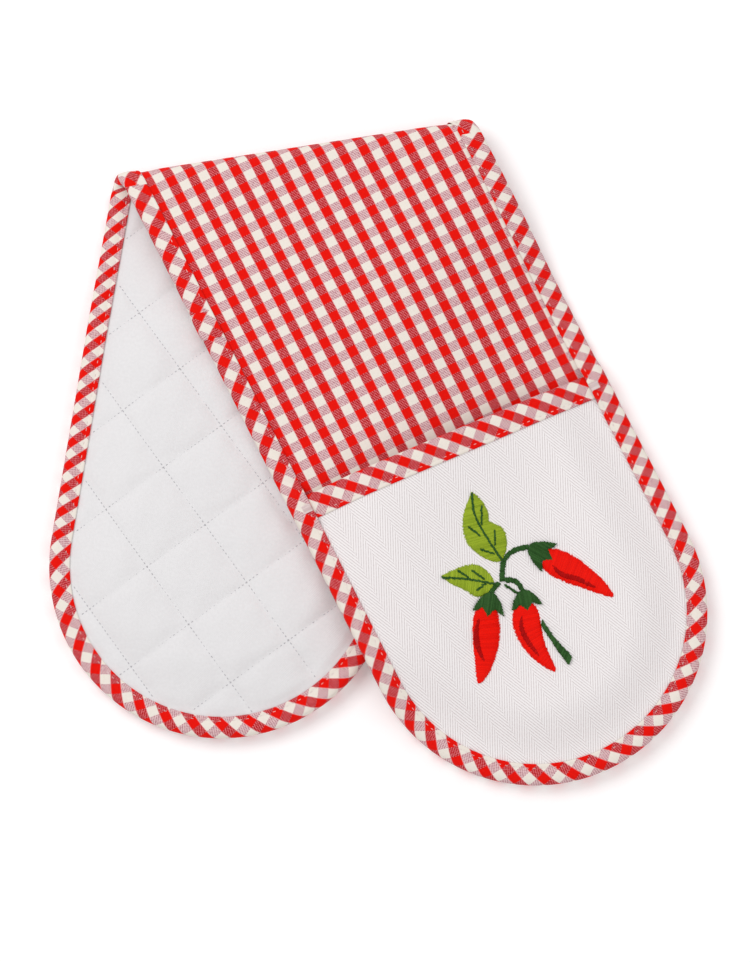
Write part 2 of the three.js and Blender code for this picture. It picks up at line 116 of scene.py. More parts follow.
@dataclass(frozen=True)
class GloveShape:
    """The strip's sizes in metres, and where each point of the flat strip lies once the glove is folded."""

    half_width: float = 0.090
    upper_length: float = 0.370
    lower_length: float = 0.318
    thickness: float = 0.0052
    fold_radius: float = 0.009
    fold_slant: float = math.radians(18.0)
    fold_height: float = 0.0106
    pocket_depth: float = 0.192
    pocket_thickness: float = 0.0031
    pocket_inset: float = 0.012
    upper_hand_space: float = 0.0105
    lower_hand_space: float = 0.0066
    rim_space: float = 0.0019
    rim_slope: float = 0.030
    upper_mouth_skew: float = 0.055
    seam_top: float = 0.0047
    lift_length: float = 0.090
    drape_inside: float = 0.030
    drape_outside: float = 0.075
    pocket_rise: float = 0.075
    end_drape: float = 0.070
    low_drop: float = 0.0128
    high_drop: float = -0.0061
    ripple: float = 0.0007

    @property
    def arc(self) -> float:
        """Length of strip from the crest of the fold to the end of its round part."""
        return self.fold_radius * math.pi / 2.0

    @property
    def origin(self) -> Vector:
        """The centre of the fold's round, in the row frame."""
        joint = next(j for j in frame["joints"] if j["name"] == "fold")
        place = Vector(joint["pos_m"])
        return Vector((place.x, place.y - self.fold_height, self.fold_height))

    def length(self, side: Side) -> float:
        """Gives the length of a half, from the crest to its round end.

        Args:
            side: the half.

        Returns:
            The length in metres.
        """
        return self.upper_length if side is Side.UPPER else self.lower_length

    def mouth(self, side: Side, across: Array) -> Array:
        """Gives where a pocket's mouth lies.

        Args:
            side: the half that the pocket is on.
            across: distance across that half.

        Returns:
            The distance from the crest to the mouth's edge.
        """
        skew = self.upper_mouth_skew if side is Side.UPPER else 0.0
        return self.length(side) - self.pocket_depth + skew * across

    def depth(self, side: Side, along: Array, across: Array) -> Array:
        """Gives how far inside the outline a point of a half lies.

        Args:
            side: the half.
            along: distance from the crest.
            across: distance across the half.

        Returns:
            The distance to the nearest edge.
        """
        straight = self.length(side) - self.half_width
        beyond = np.maximum(along - straight, 0.0)
        return self.half_width - np.hypot(beyond, across)

    def strip_depth(self, along: Array, across: Array) -> Array:
        """Gives how far inside the outline a point of the whole strip lies.

        Args:
            along: strip coordinate, less than nothing on the lower half.
            across: strip coordinate.

        Returns:
            The distance to the nearest edge.
        """
        upper = self.depth(Side.UPPER, along, across)
        return np.where(along > 0.0, upper, self.depth(Side.LOWER, -along, -across))

    def hand_space(self, side: Side, depth: Array) -> Array:
        """Gives the room for the hand between the gingham and the pocket's lining.

        Args:
            side: the half that the pocket is on.
            depth: distance inside the outline.

        Returns:
            The room in metres.
        """
        full = self.upper_hand_space if side is Side.UPPER else self.lower_hand_space
        return lerp(self.rim_space, full, smooth((depth - self.pocket_inset) / self.rim_slope))

    def pocket_face(self, side: Side, along: Array, across: Array) -> Array:
        """Gives the height of a pocket's outer face.

        Args:
            side: the half that the pocket is on.
            along: distance from the crest.
            across: distance across the half.

        Returns:
            The height above the gingham.
        """
        depth = self.depth(side, along, across)
        tucked = 0.0005 * (1.0 - smooth((depth - 0.010) / 0.004))
        return self.hand_space(side, depth) + self.pocket_thickness - tucked

    def seam_height(self, side: Side, along: Array, across: Array) -> Array:
        """Gives what the edge binding lies on: the gingham, or the seam, thicker at the mouth's corner.

        Args:
            side: the half.
            along: distance from the crest.
            across: distance across the half.

        Returns:
            The height above the gingham.
        """
        past = along - self.mouth(side, across)
        corner = smooth((past + 0.006) / 0.005) * (1.0 - smooth((past - 0.013) / 0.007))
        extra = 0.0016 if side is Side.UPPER else 0.0
        return self.seam_top * smooth((past + 0.008) / 0.008) + extra * corner

    def upper_drop(self, from_crest: Array, sideways: Array) -> Array:
        """Gives how far the upper half sinks below the top of the fold.

        Args:
            from_crest: distance from the crest, square to it.
            sideways: distance along the crest.

        Returns:
            The drop in metres, less than nothing over the lower half's pocket.
        """
        c, s = math.cos(self.fold_slant), math.sin(self.fold_slant)
        edge = self.half_width * c - (from_crest - self.half_width * s) * math.tan(self.fold_slant)
        outside = (sideways - edge) * c
        over = 1.0 - smooth((outside + self.drape_inside) / (self.drape_inside + self.drape_outside))
        past_end = smooth((from_crest - self.lower_length + self.end_drape * 0.7) / self.end_drape)
        return smooth((from_crest - 0.014) / self.lift_length) * lerp(
            self.low_drop, self.high_drop, over * (1.0 - past_end)
        )

    def lower_drop(self, along: Array, across: Array) -> Array:
        """Gives how far the lower half is lifted by the pocket beneath it.

        Args:
            along: distance from the crest on the lower half.
            across: distance across the lower half.

        Returns:
            The lift in metres.
        """
        rise = smooth((along - self.mouth(Side.LOWER, across) + self.pocket_rise) / self.pocket_rise)
        depth = self.depth(Side.LOWER, along, across)
        return rise * (self.pocket_thickness + self.hand_space(Side.LOWER, depth))

    def unevenness(self, along: Array, across: Array) -> Array:
        """Gives the soft lie of handled cloth.

        Args:
            along: strip coordinate.
            across: strip coordinate.

        Returns:
            A lift between nothing and the ripple size.
        """
        waves = (
            np.sin(along * 71.0 + across * 23.0 + 0.7)
            + np.sin(along * -38.0 + across * 83.0 + 2.1)
            + 0.6 * np.sin(along * 127.0 - across * 94.0 + 4.0)
        )
        return self.ripple * (0.5 + waves / 5.2)

    def place(self, along: Array, across: Array, height: Array) -> Array:
        """Lays points of the flat strip in the row frame.

        Args:
            along: strip coordinate, less than nothing on the lower half.
            across: strip coordinate.
            height: distance outward from the gingham side.

        Returns:
            An array of points, with one more axis than the arguments.
        """
        along, across, height = np.broadcast_arrays(along, across, height)
        c, s = math.cos(self.fold_slant), math.sin(self.fold_slant)
        from_crest = along * c - across * s
        sideways = along * s + across * c
        angle = np.clip(from_crest / self.fold_radius, -math.pi / 2.0, math.pi / 2.0)
        radius = self.fold_radius + height
        away = np.maximum(np.abs(from_crest) - self.arc, 0.0)
        calm = smooth(away / 0.05) * self.unevenness(along, across)
        upper = self.fold_radius + height - self.upper_drop(from_crest, sideways) + calm
        lower = self.lower_drop(-along, -across) - self.fold_radius - height + calm
        flat = np.where(from_crest > 0.0, upper, lower)
        y = np.where(away > 0.0, -away, radius * np.cos(angle))
        z = np.where(away > 0.0, flat, radius * np.sin(angle))
        origin = self.origin
        return np.stack([sideways + origin.x, y + origin.y, z + origin.z], axis=-1)

    def on_half(self, side: Side, along: Array, across: Array, height: Array) -> Array:
        """Lays points given in a half's own coordinates.

        Args:
            side: the half.
            along: distance from the crest.
            across: distance across the half.
            height: distance outward from the gingham side.

        Returns:
            An array of points in the row frame.
        """
        return self.place(side.value * np.asarray(along), side.value * np.asarray(across), height)

    def from_crest(self, along: Array, across: Array) -> Array:
        """Gives a point's distance from the crest, square to it.

        Args:
            along: strip coordinate.
            across: strip coordinate.

        Returns:
            The distance, less than nothing on the lower half's side.
        """
        return along * math.cos(self.fold_slant) - across * math.sin(self.fold_slant)

    def crest_line(self, from_crest: float, across: Array) -> Array:
        """Gives the along coordinate of a line parallel to the crest.

        Args:
            from_crest: the line's distance from the crest, square to it.
            across: strip coordinate.

        Returns:
            The along coordinate at each across one.
        """
        c, s = math.cos(self.fold_slant), math.sin(self.fold_slant)
        return (from_crest + np.asarray(across) * s) / c


SHAPE = GloveShape()


# ---------------------------------------------------------------- how the pieces move


@dataclass(frozen=True)
class Motion:
    """How a piece follows the bodies: it rides on one; a piece given two bodies is only baked in place, and
    nothing bends it.
    """

    body: str
    second: Optional[str] = None
    start: Optional[Vector] = None
    end: Optional[Vector] = None

    def apply(self, obj: Object) -> None:
        """Attaches a piece to its body; a piece given a second body is only baked in place.

        Args:
            obj: the finished piece, in place.
        """
        if self.second is None:
            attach(obj, self.body)
        else:
            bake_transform(obj)


def half_body(side: Side) -> str:
    """Names the body of a half.

    Args:
        side: the half.

    Returns:
        The body's name.
    """
    return f"{side.name.lower()}_half"


def pocket_body(side: Side) -> str:
    """Names the body of a pocket.

    Args:
        side: the half that the pocket is on.

    Returns:
        The body's name.
    """
    return f"{side.name.lower()}_pocket"


def fold_motion(reach: float) -> Motion:
    """Gives the motion of a piece that goes round the fold.

    Args:
        reach: distance above and below the fold's centre at which the motion's two ends are set.

    Returns:
        The motion from the lower half to the upper one.
    """
    centre = SHAPE.origin
    low = Vector((centre.x, centre.y, centre.z - reach))
    high = Vector((centre.x, centre.y, centre.z + reach))
    return Motion("lower_half", "upper_half", low, high)


class Third(Enum):
    """The three parts of a pocket; the value is the sign of the across coordinate."""

    LEFT = -1
    CENTRE = 0
    RIGHT = 1


RIM_FIXED = 0.078
CENTRE_EDGE = 0.046


def pocket_motion(side: Side, third: Third) -> Motion:
    """Gives the motion of a third of a pocket: the centre rides on the pocket, and a side third is given the
    half and the pocket but is only baked in place.

    Args:
        side: the half that the pocket is on.
        third: which part.

    Returns:
        The motion.
    """
    if third is Third.CENTRE:
        return Motion(pocket_body(side))
    middle = SHAPE.length(side) - SHAPE.half_width
    start = Vector(SHAPE.on_half(side, middle, third.value * RIM_FIXED, 0.0))
    end = Vector(SHAPE.on_half(side, middle, third.value * CENTRE_EDGE, 0.0))
    end.z = start.z
    return Motion(half_body(side), pocket_body(side), start, end)


# ---------------------------------------------------------------- colour and materials


def linear(hex_colour: str) -> Tuple[float, float, float, float]:
    """Turns a web colour into the linear one that a shader takes.

    Args:
        hex_colour: six hexadecimal digits.

    Returns:
        Red, green, blue and alpha.
    """
    values = [int(hex_colour[i : i + 2], 16) / 255.0 for i in (0, 2, 4)]
    curve = [v / 12.92 if v <= 0.04045 else ((v + 0.055) / 1.055) ** 2.4 for v in values]
    return (curve[0], curve[1], curve[2], 1.0)


def add_node(tree: Tree, kind: str, inputs: Dict, output: int = 0, **settings: object) -> Socket:
    """Adds a node with its settings and links.

    Args:
        tree: the material's node tree.
        kind: the node's type name.
        inputs: value or socket for each input, by name or number.
        output: the number of the output to give back.
        **settings: the node's own settings.

    Returns:
        The chosen output socket.
    """
    node = tree.nodes.new(kind)
    for name, value in settings.items():
        setattr(node, name, value)
    for key, value in inputs.items():
        if isinstance(value, Socket):
            tree.links.new(value, node.inputs[key])
        else:
            node.inputs[key].default_value = value
    return node.outputs[output]


def calc(tree: Tree, operation: str, *values: "float | Socket") -> Socket:
    """Adds a math node.

    Args:
        tree: the material's node tree.
        operation: the math node's operation.
        *values: one to three numbers or sockets.

    Returns:
        The result socket.
    """
    return add_node(tree, "ShaderNodeMath", dict(enumerate(values)), operation=operation)


def mix(tree: Tree, share: Socket, a: object, b: object) -> Socket:
    """Adds a colour mix node.

    Args:
        tree: the material's node tree.
        share: the share of b.
        a: first colour.
        b: second colour.

    Returns:
        The colour socket.
    """
    return add_node(tree, "ShaderNodeMix", {0: share, 6: a, 7: b}, output=2, data_type="RGBA")


@dataclass(frozen=True)
class Finish:
    """A material's common parts: its name, how rough it is and how much fuzz catches the light."""

    name: str
    roughness: float = 0.95
    sheen: float = 0.02
    relief: float = 0.00008

    def colour(self, tree: Tree, x: Socket, y: Socket) -> Tuple[Socket, Socket]:
        """Gives the colour over the cloth.

        Args:
            tree: the material's node tree.
            x: across socket, in metres.
            y: along socket, in metres.

        Returns:
            A colour and a height socket.
        """
        raise NotImplementedError

    def build(self) -> bpy.types.Material:
        """Makes the material.

        Returns:
            The material.
        """
        material = bpy.data.materials.new(self.name)
        material.use_nodes = True
        tree = material.node_tree
        shader = tree.nodes["Principled BSDF"]
        place = add_node(tree, "ShaderNodeAttribute", {}, output=1, attribute_name="cloth")
        split = tree.nodes.new("ShaderNodeSeparateXYZ")
        tree.links.new(place, split.inputs[0])
        colour, height = self.colour(tree, split.outputs[0], split.outputs[1])
        tree.links.new(colour, shader.inputs["Base Color"])
        bump = add_node(
            tree, "ShaderNodeBump", {"Height": height, "Strength": 0.5, "Distance": self.relief}
        )
        tree.links.new(bump, shader.inputs["Normal"])
        shader.inputs["Roughness"].default_value = self.roughness
        shader.inputs["Sheen Weight"].default_value = self.sheen
        shader.inputs["Sheen Roughness"].default_value = 0.5
        shader.inputs["Specular IOR Level"].default_value = 0.12
        return material


def weave(tree: Tree, x: Socket, y: Socket, pitch: float) -> Socket:
    """Gives the over-and-under of a plain weave.

    Args:
        tree: the material's node tree.
        x: across socket.
        y: along socket.
        pitch: distance between threads in metres.

    Returns:
        A socket from -1 to 1.
    """
    turn = math.pi / pitch
    return calc(
        tree,
        "MULTIPLY",
        calc(tree, "SINE", calc(tree, "MULTIPLY", x, turn)),
        calc(tree, "SINE", calc(tree, "MULTIPLY", y, turn)),
    )


def cloth_noise(tree: Tree, x: Socket, y: Socket, size: float, detail: float = 2.0) -> Socket:
    """Gives soft noise over the cloth.

    Args:
        tree: the material's node tree.
        x: across socket.
        y: along socket.
        size: size of the noise's spots in metres.
        detail: levels of finer noise.

    Returns:
        A socket from 0 to 1.
    """
    spot = add_node(tree, "ShaderNodeCombineXYZ", {0: x, 1: y})
    return add_node(
        tree, "ShaderNodeTexNoise", {"Vector": spot, "Scale": 1.0 / size, "Detail": detail}
    )


@dataclass(frozen=True)
class Gingham(Finish):
    """Yarn-dyed cotton check: a red and a cream yarn that cross make a dotted square.

    The dots are drawn 0.68 mm apart, coarser than the real yarns, so that they show.
    """

    period_across: float = 0.01081
    period_along: float = 0.01033
    centre_across: float = 0.0199
    centre_along: float = 0.0866
    bias: float = 0.0
    yarn: float = 0.00054

    def colour(self, tree: Tree, x: Socket, y: Socket) -> Tuple[Socket, Socket]:
        """Gives the check; see Finish.colour.

        Args:
            tree: the material's node tree.
            x: across socket.
            y: along socket.

        Returns:
            A colour and a height socket.
        """
        if self.bias:
            c, s = math.cos(self.bias), math.sin(self.bias)
            turned_x = calc(tree, "MULTIPLY_ADD", x, c, calc(tree, "MULTIPLY", y, s))
            turned_y = calc(tree, "MULTIPLY_ADD", y, c, calc(tree, "MULTIPLY", x, -s))
            x, y = turned_x, turned_y
        wobble = calc(tree, "MULTIPLY_ADD", cloth_noise(tree, x, y, 0.004), 0.0003, -0.00015)
        x_soft = calc(tree, "ADD", x, wobble)
        y_soft = calc(tree, "ADD", y, wobble)
        column = self._band(tree, x_soft, self.period_across, self.centre_across)
        row = self._band(tree, y_soft, self.period_along, self.centre_along)
        red_yarn = calc(tree, "LESS_THAN", column, 0.5)
        red_weft = calc(tree, "LESS_THAN", row, 0.5)
        over = weave(tree, x, y, self.yarn)
        fleck = weave(tree, calc(tree, "MULTIPLY_ADD", y, 0.35, x), y, 0.00068)
        grain = calc(tree, "MULTIPLY_ADD", cloth_noise(tree, x, y, 0.0012, 1.0), 1.6, -0.8)
        dots = calc(tree, "GREATER_THAN", calc(tree, "ADD", fleck, grain), 0.12)
        speck = cloth_noise(tree, x, y, 0.0011, 0.0)
        crossed_red = mix(tree, dots, linear("b5141b"), linear("d96f73"))
        crossed_cream = mix(tree, dots, linear("e2c2c2"), linear("b67c86"))
        shade = calc(tree, "MULTIPLY_ADD", speck, 0.5, -0.1)
        deep = mix(tree, shade, linear("ec1206"), linear("c80f0a"))
        cream = mix(tree, shade, linear("efe6dc"), linear("e3d8cd"))
        red_column = mix(tree, red_weft, crossed_red, deep)
        cream_column = mix(tree, red_weft, cream, crossed_cream)
        squares = mix(tree, red_yarn, cream_column, red_column)
        doubled = calc(tree, "FRACT", calc(tree, "MULTIPLY_ADD", column, 2.0, 0.06))
        edge = calc(tree, "MULTIPLY", calc(tree, "LESS_THAN", doubled, 0.11), 0.3)
        colour = mix(tree, edge, squares, linear("efb4b4"))
        return colour, over

    @staticmethod
    def _band(tree: Tree, value: Socket, period: float, centre: float) -> Socket:
        """Gives the place within a check's repeat; the red half is below a half.

        Args:
            tree: the material's node tree.
            value: coordinate socket.
            period: length of the repeat.
            centre: middle of one red band.

        Returns:
            A socket from 0 to 1.
        """
        turns = calc(tree, "MULTIPLY_ADD", value, 1.0 / period, 0.25 - centre / period)
        return calc(tree, "FRACT", turns)


@dataclass(frozen=True)
class HerringboneTwill(Finish):
    """White cotton twill whose slanting lines turn back every few millimetres.

    The lines are drawn 1.25 mm apart, coarser than the real twill, so that they show.
    """

    band: float = 0.00775
    pitch: float = 0.00125
    slant: float = math.radians(25.5)

    def colour(self, tree: Tree, x: Socket, y: Socket) -> Tuple[Socket, Socket]:
        """Gives the herringbone; see Finish.colour.

        Args:
            tree: the material's node tree.
            x: across socket.
            y: along socket.

        Returns:
            A colour and a height socket.
        """
        zigzag = calc(tree, "PINGPONG", calc(tree, "ADD", x, 1.0), self.band)
        step = calc(tree, "FLOOR", calc(tree, "MULTIPLY", calc(tree, "ADD", x, 1.0), 1.0 / self.band))
        across = calc(tree, "MULTIPLY", zigzag, math.cos(self.slant) / self.pitch)
        along = calc(tree, "MULTIPLY_ADD", y, math.sin(self.slant) / self.pitch, across)
        wave = calc(tree, "FRACT", calc(tree, "MULTIPLY_ADD", step, 0.5, along))
        ridge = calc(tree, "PINGPONG", wave, 0.5)
        noise = cloth_noise(tree, x, y, 0.0009, 1.0)
        line = calc(tree, "GREATER_THAN", calc(tree, "MULTIPLY_ADD", noise, 0.3, ridge), 0.49)
        colour = mix(tree, line, linear("f4efef"), linear("d6cece"))
        return colour, ridge


@dataclass(frozen=True)
class PlainCotton(Finish):
    """Plain white cotton, or any thread of one colour: a weave too fine to see and a little unevenness."""

    light: str = "ebe9ea"
    dark: str = "e0dedf"
    yarn: float = 0.0005

    def colour(self, tree: Tree, x: Socket, y: Socket) -> Tuple[Socket, Socket]:
        """Gives the plain colour; see Finish.colour.

        Args:
            tree: the material's node tree.
            x: across socket.
            y: along socket.

        Returns:
            A colour and a height socket.
        """
        spots = cloth_noise(tree, x, y, 0.0016, 3.0)
        return mix(tree, spots, linear(self.light), linear(self.dark)), weave(tree, x, y, self.yarn)


@dataclass(frozen=True)
class SatinThread(Finish):
    """Shiny embroidery thread; its colour changes a little from strand to strand."""

    light: str = "f02010"
    dark: str = "c80800"
    roughness: float = 0.55
    sheen: float = 0.0

    def build(self) -> bpy.types.Material:
        """Makes the material from the strand's own attribute.

        Returns:
            The material.
        """
        material = bpy.data.materials.new(self.name)
        material.use_nodes = True
        tree = material.node_tree
        shader = tree.nodes["Principled BSDF"]
        strand = add_node(tree, "ShaderNodeAttribute", {}, output=2, attribute_name="strand")
        spot = add_node(tree, "ShaderNodeTexCoord", {}, output=3)
        noise = add_node(tree, "ShaderNodeTexNoise", {"Vector": spot, "Scale": 900.0, "Detail": 1.0})
        share = calc(tree, "MULTIPLY_ADD", noise, 0.35, calc(tree, "MULTIPLY_ADD", strand, 0.65, -0.1))
        colour = mix(tree, share, linear(self.light), linear(self.dark))
        tree.links.new(colour, shader.inputs["Base Color"])
        shader.inputs["Roughness"].default_value = self.roughness
        shader.inputs["Sheen Weight"].default_value = self.sheen
        shader.inputs["Specular IOR Level"].default_value = 0.12
        return material


class Wardrobe:
    """Every material, made once, with the record's slot that each belongs to."""

    def __init__(self) -> None:
        """Makes the materials."""
        bias = math.radians(45.0)
        self.finishes: Dict[str, Tuple[Finish, str]] = {
            # yarn-dyed cotton check, plain woven: matt, with dotted half-tones where the two yarns cross
            "gingham": (Gingham("yarn_dyed_gingham"), "gingham"),
            # the same check cut on the bias and folded into tape: its squares stand on their corners
            "bias": (Gingham("bias_cut_gingham", bias=bias), "bias_gingham"),
            # plain white cotton drawn down by quilting: matt and even, shaded only by its puffs
            "lining": (PlainCotton("white_lining_cotton"), "lining_cotton"),
            # white cotton herringbone twill: fine slanting ridges that turn back in narrow bands
            "twill": (HerringboneTwill("herringbone_twill", relief=0.00015), "twill"),
            # red rayon embroidery thread: bright, with a soft gloss along each strand
            "chili": (SatinThread("red_embroidery_thread", light="f71502", dark="e00b00"), "chili_thread"),
            # deep red rayon embroidery thread: the shade on one side of each chili
            "chili_dark": (
                SatinThread("dark_red_embroidery_thread", light="b80200", dark="9c0000"),
                "chili_thread",
            ),
            # olive rayon embroidery thread: a little lighter or darker from strand to strand
            "leaf": (
                SatinThread("leaf_green_embroidery_thread", light="a6bb33", dark="7f961f"),
                "leaf_thread",
            ),
            # dark green rayon embroidery thread: nearly black in its hollows
            "stem": (
                SatinThread("dark_green_embroidery_thread", light="3a6430", dark="1c3d14"),
                "stem_thread",
            ),
            # white polyester sewing thread: sunk in the cloth, so slightly pinkish
            "thread": (SatinThread("white_sewing_thread", light="eadad8", dark="c8aeae"), "white_thread"),
            # grey-white polyester quilting thread: reads as small grey dots
            "quilting": (SatinThread("quilting_thread", light="c8c6c9", dark="a9a7ab"), "white_thread"),
        }
        self.materials = {key: finish.build() for key, (finish, _) in self.finishes.items()}

    def dress(self, obj: Object, key: str) -> None:
        """Gives a piece its material.

        Args:
            obj: the piece.
            key: the finish's short name.
        """
        obj.data.materials.append(self.materials[key])
        LOG.info("%s: %d faces, %s", obj.name, len(obj.data.polygons), self.finishes[key][0].name)


# ---------------------------------------------------------------- meshes


def grid_normals(points: Array) -> Array:
    """Works out smooth normals over a grid of points.

    Args:
        points: rows by columns by three.

    Returns:
        Unit normals of the same shape.
    """
    normals = np.cross(np.gradient(points, axis=0), np.gradient(points, axis=1))
    return normals / (np.linalg.norm(normals, axis=2, keepdims=True) + TINY)


def grid_faces(rows: int, columns: int, first: int) -> Array:
    """Lists a grid's faces.

    Args:
        rows: rows of points.
        columns: columns of points.
        first: number of the first point.

    Returns:
        Faces by four.
    """
    index = first + np.arange(rows * columns).reshape(rows, columns)
    return np.stack(
        [index[:-1, :-1], index[1:, :-1], index[1:, 1:], index[:-1, 1:]], axis=-1
    ).reshape(-1, 4)


@dataclass
class Shell:
    """A closed sheet between an outer and an inner grid of points, cut into parts that still meet exactly."""

    outer: Array
    inner: Array
    cloth: Array

    def part(self, name: str, rows: slice = slice(None), columns: slice = slice(None)) -> Object:
        """Makes one part of the sheet.

        Args:
            name: the piece's name.
            rows: the rows of the grid that it takes.
            columns: the columns of the grid that it takes.

        Returns:
            The piece.
        """
        normals = grid_normals(self.outer)
        inner_normals = grid_normals(self.inner)
        facing = float(np.sum(normals * (self.outer - self.inner)))
        outer = self.outer[rows, columns]
        inner = self.inner[rows, columns]
        m, n = outer.shape[:2]
        count = m * n
        upper = grid_faces(m, n, 0)
        lower = grid_faces(m, n, count)[:, ::-1]
        index = np.arange(count).reshape(m, n)
        ring = np.concatenate([index[0, :-1], index[:-1, -1], index[-1, :0:-1], index[:0:-1, 0]])
        following = np.roll(ring, -1)
        walls = np.stack([ring, following, following + count, ring + count], axis=-1)
        faces = np.concatenate([upper, lower, walls])
        points = np.concatenate([outer.reshape(-1, 3), inner.reshape(-1, 3)])
        sign = 1.0
        if facing < 0.0:
            faces = faces[:, ::-1]
            sign = -1.0
        smooth_normals = np.concatenate(
            [
                sign * normals[rows, columns].reshape(-1, 3),
                -sign * inner_normals[rows, columns].reshape(-1, 3),
            ]
        )
        corner = smooth_normals[faces]
        start = len(upper) + len(lower)
        quad = points[faces[start:]]
        flat = np.cross(quad[:, 2] - quad[:, 0], quad[:, 3] - quad[:, 1])
        flat /= np.linalg.norm(flat, axis=1, keepdims=True) + TINY
        corner[start:] = flat[:, None, :]
        cloth = np.concatenate([self.cloth[rows, columns].reshape(-1, 2)] * 2)
        mesh = bpy.data.meshes.new(name)
        mesh.from_pydata(points.tolist(), [], faces.tolist())
        mesh.polygons.foreach_set("use_smooth", np.ones(len(faces), dtype=bool))
        values = np.concatenate([cloth, np.zeros((len(cloth), 1))], axis=1)
        attribute = mesh.attributes.new("cloth", "FLOAT_VECTOR", "POINT")
        attribute.data.foreach_set("vector", values.astype(np.float32).ravel())
        mesh.normals_split_custom_set(corner.reshape(-1, 3).tolist())
        mesh.update()
        obj = bpy.data.objects.new(name, mesh)
        bpy.context.scene.collection.objects.link(obj)
        return obj

    def flat_area(self, rows: slice = slice(None), columns: slice = slice(None)) -> float:
        """Measures a part's area on the flat cloth.

        Args:
            rows: the rows of the grid.
            columns: the columns of the grid.

        Returns:
            The area in square metres.
        """
        points = self.cloth[rows, columns]
        a = points[1:, 1:] - points[:-1, :-1]
        b = points[1:, :-1] - points[:-1, 1:]
        return float(np.abs(a[..., 0] * b[..., 1] - a[..., 1] * b[..., 0]).sum() / 2.0)

    def declare(
        self,
        obj: Object,
        held: str,
        rests_on: Sequence[Object] = (),
        rows: slice = slice(None),
        columns: slice = slice(None),
    ) -> None:
        """Does nothing: the part is not declared as a sheet of cloth.

        Args:
            obj: the piece; not used.
            held: how it is held; not used.
            rests_on: what it lies on; not used.
            rows: the rows of the grid that it took; not used.
            columns: the columns of the grid that it took; not used.
        """


def strands(
    name: str,
    centres: Array,
    sides: Array,
    ups: Array,
    half_width: Array,
    half_height: Array,
    corners: int = 5,
) -> Object:
    """Makes many short closed threads as one mesh.

    Args:
        name: the piece's name.
        centres: threads by rings by three, the middle line of each thread.
        sides: unit vectors across each thread, of the same shape.
        ups: unit vectors up from the cloth, of the same shape.
        half_width: threads by rings.
        half_height: threads by rings.
        corners: sides of a thread's section.

    Returns:
        The piece.
    """
    count, rings = centres.shape[:2]
    turn = np.arange(corners) * 2.0 * math.pi / corners + math.pi / 2.0
    ring = (
        centres[:, :, None]
        + np.cos(turn)[None, None, :, None] * (half_width[..., None] * sides)[:, :, None]
        + np.sin(turn)[None, None, :, None] * (half_height[..., None] * ups)[:, :, None]
    )
    points = ring.reshape(-1, 3)
    index = np.arange(count * rings * corners).reshape(count, rings, corners)
    after = np.roll(index, -1, axis=2)
    walls = np.stack([index[:, :-1], index[:, 1:], after[:, 1:], after[:, :-1]], axis=-1).reshape(-1, 4)
    along = centres[0, -1] - centres[0, 0]
    outward = float(np.dot(np.cross(sides[0, 0], ups[0, 0]), along))
    caps = index[:, 0].tolist() + index[:, -1, ::-1].tolist()
    faces = walls.tolist() + caps
    if outward > 0.0:
        faces = [face[::-1] for face in faces]
    mesh = bpy.data.meshes.new(name)
    mesh.from_pydata(points.tolist(), [], faces)
    mesh.polygons.foreach_set("use_smooth", np.ones(len(faces), dtype=bool))
    rng = np.random.default_rng(len(name) + count)
    shade = np.repeat(rng.random(count), rings * corners).astype(np.float32)
    attribute = mesh.attributes.new("strand", "FLOAT", "POINT")
    attribute.data.foreach_set("value", shade)
    mesh.update()
    obj = bpy.data.objects.new(name, mesh)
    bpy.context.scene.collection.objects.link(obj)
    return obj


def thread_frames(along: Array, across: Array, height: Height) -> Tuple[Array, Array]:
    """Finds where points of the cloth lie and which way is out of it.

    Args:
        along: strip coordinates.
        across: strip coordinates.
        height: gives the height of the cloth's surface.

    Returns:
        Points, and unit vectors out of the cloth.
    """
    step = 0.0004
    here = SHAPE.place(along, across, height(along, across))
    forward = SHAPE.place(along + step, across, height(along + step, across)) - here
    beside = SHAPE.place(along, across + step, height(along, across + step)) - here
    out = np.cross(forward, beside)
    lifted = SHAPE.place(along, across, height(along, across) + step) - here
    out *= np.sign(np.sum(out * lifted, axis=-1, keepdims=True))
    return here, out / (np.linalg.norm(out, axis=-1, keepdims=True) + TINY)


def stitch_row(
    name: str,
    path: Array,
    height: Height,
    outward: float = 1.0,
    radius: float = 0.00014,
    keep: Optional[Callable[[Array, Array], Array]] = None,
) -> Optional[Object]:
    """Makes a row of sewing stitches.

    Args:
        name: the piece's name.
        path: stitches by two by two, the ends of each stitch as (along, across) on the strip.
        height: gives the height of the cloth's surface.
        outward: 1 on the gingham side and -1 on the lining side.
        radius: half the thread's thickness.
        keep: says which stitches to keep, from their middles.

    Returns:
        The piece, or None where no stitch is kept.
    """
    middle = path.mean(1)
    if keep is not None:
        path = path[keep(middle[:, 0], middle[:, 1])]
    if not len(path):
        return None
    share = np.array([0.0, 0.16, 0.84, 1.0])
    points = path[:, :1] + (path[:, 1:] - path[:, :1]) * share[None, :, None]
    here, out = thread_frames(points[..., 0], points[..., 1], height)
    out = out * outward
    sunk = np.array([-0.9, 0.35, 0.35, -0.9]) * radius
    centres = here + out * sunk[None, :, None]
    along = np.gradient(centres, axis=1)
    along /= np.linalg.norm(along, axis=2, keepdims=True) + TINY
    sides = np.cross(along, out)
    sides /= np.linalg.norm(sides, axis=2, keepdims=True) + TINY
    size = np.broadcast_to(np.array([0.55, 1.0, 1.0, 0.55]) * radius, centres.shape[:2])
    return strands(name, centres, sides, out, size * 1.15, size)


# ---------------------------------------------------------------- the strip


def half_columns(half_width: float, count: int) -> Array:
    """Spaces columns across the strip so that the round end is as smooth as the sides.

    Args:
        half_width: half the width covered.
        count: number of columns.

    Returns:
        Across coordinates.
    """
    return half_width * np.sin(np.linspace(-math.pi / 2.0, math.pi / 2.0, count))


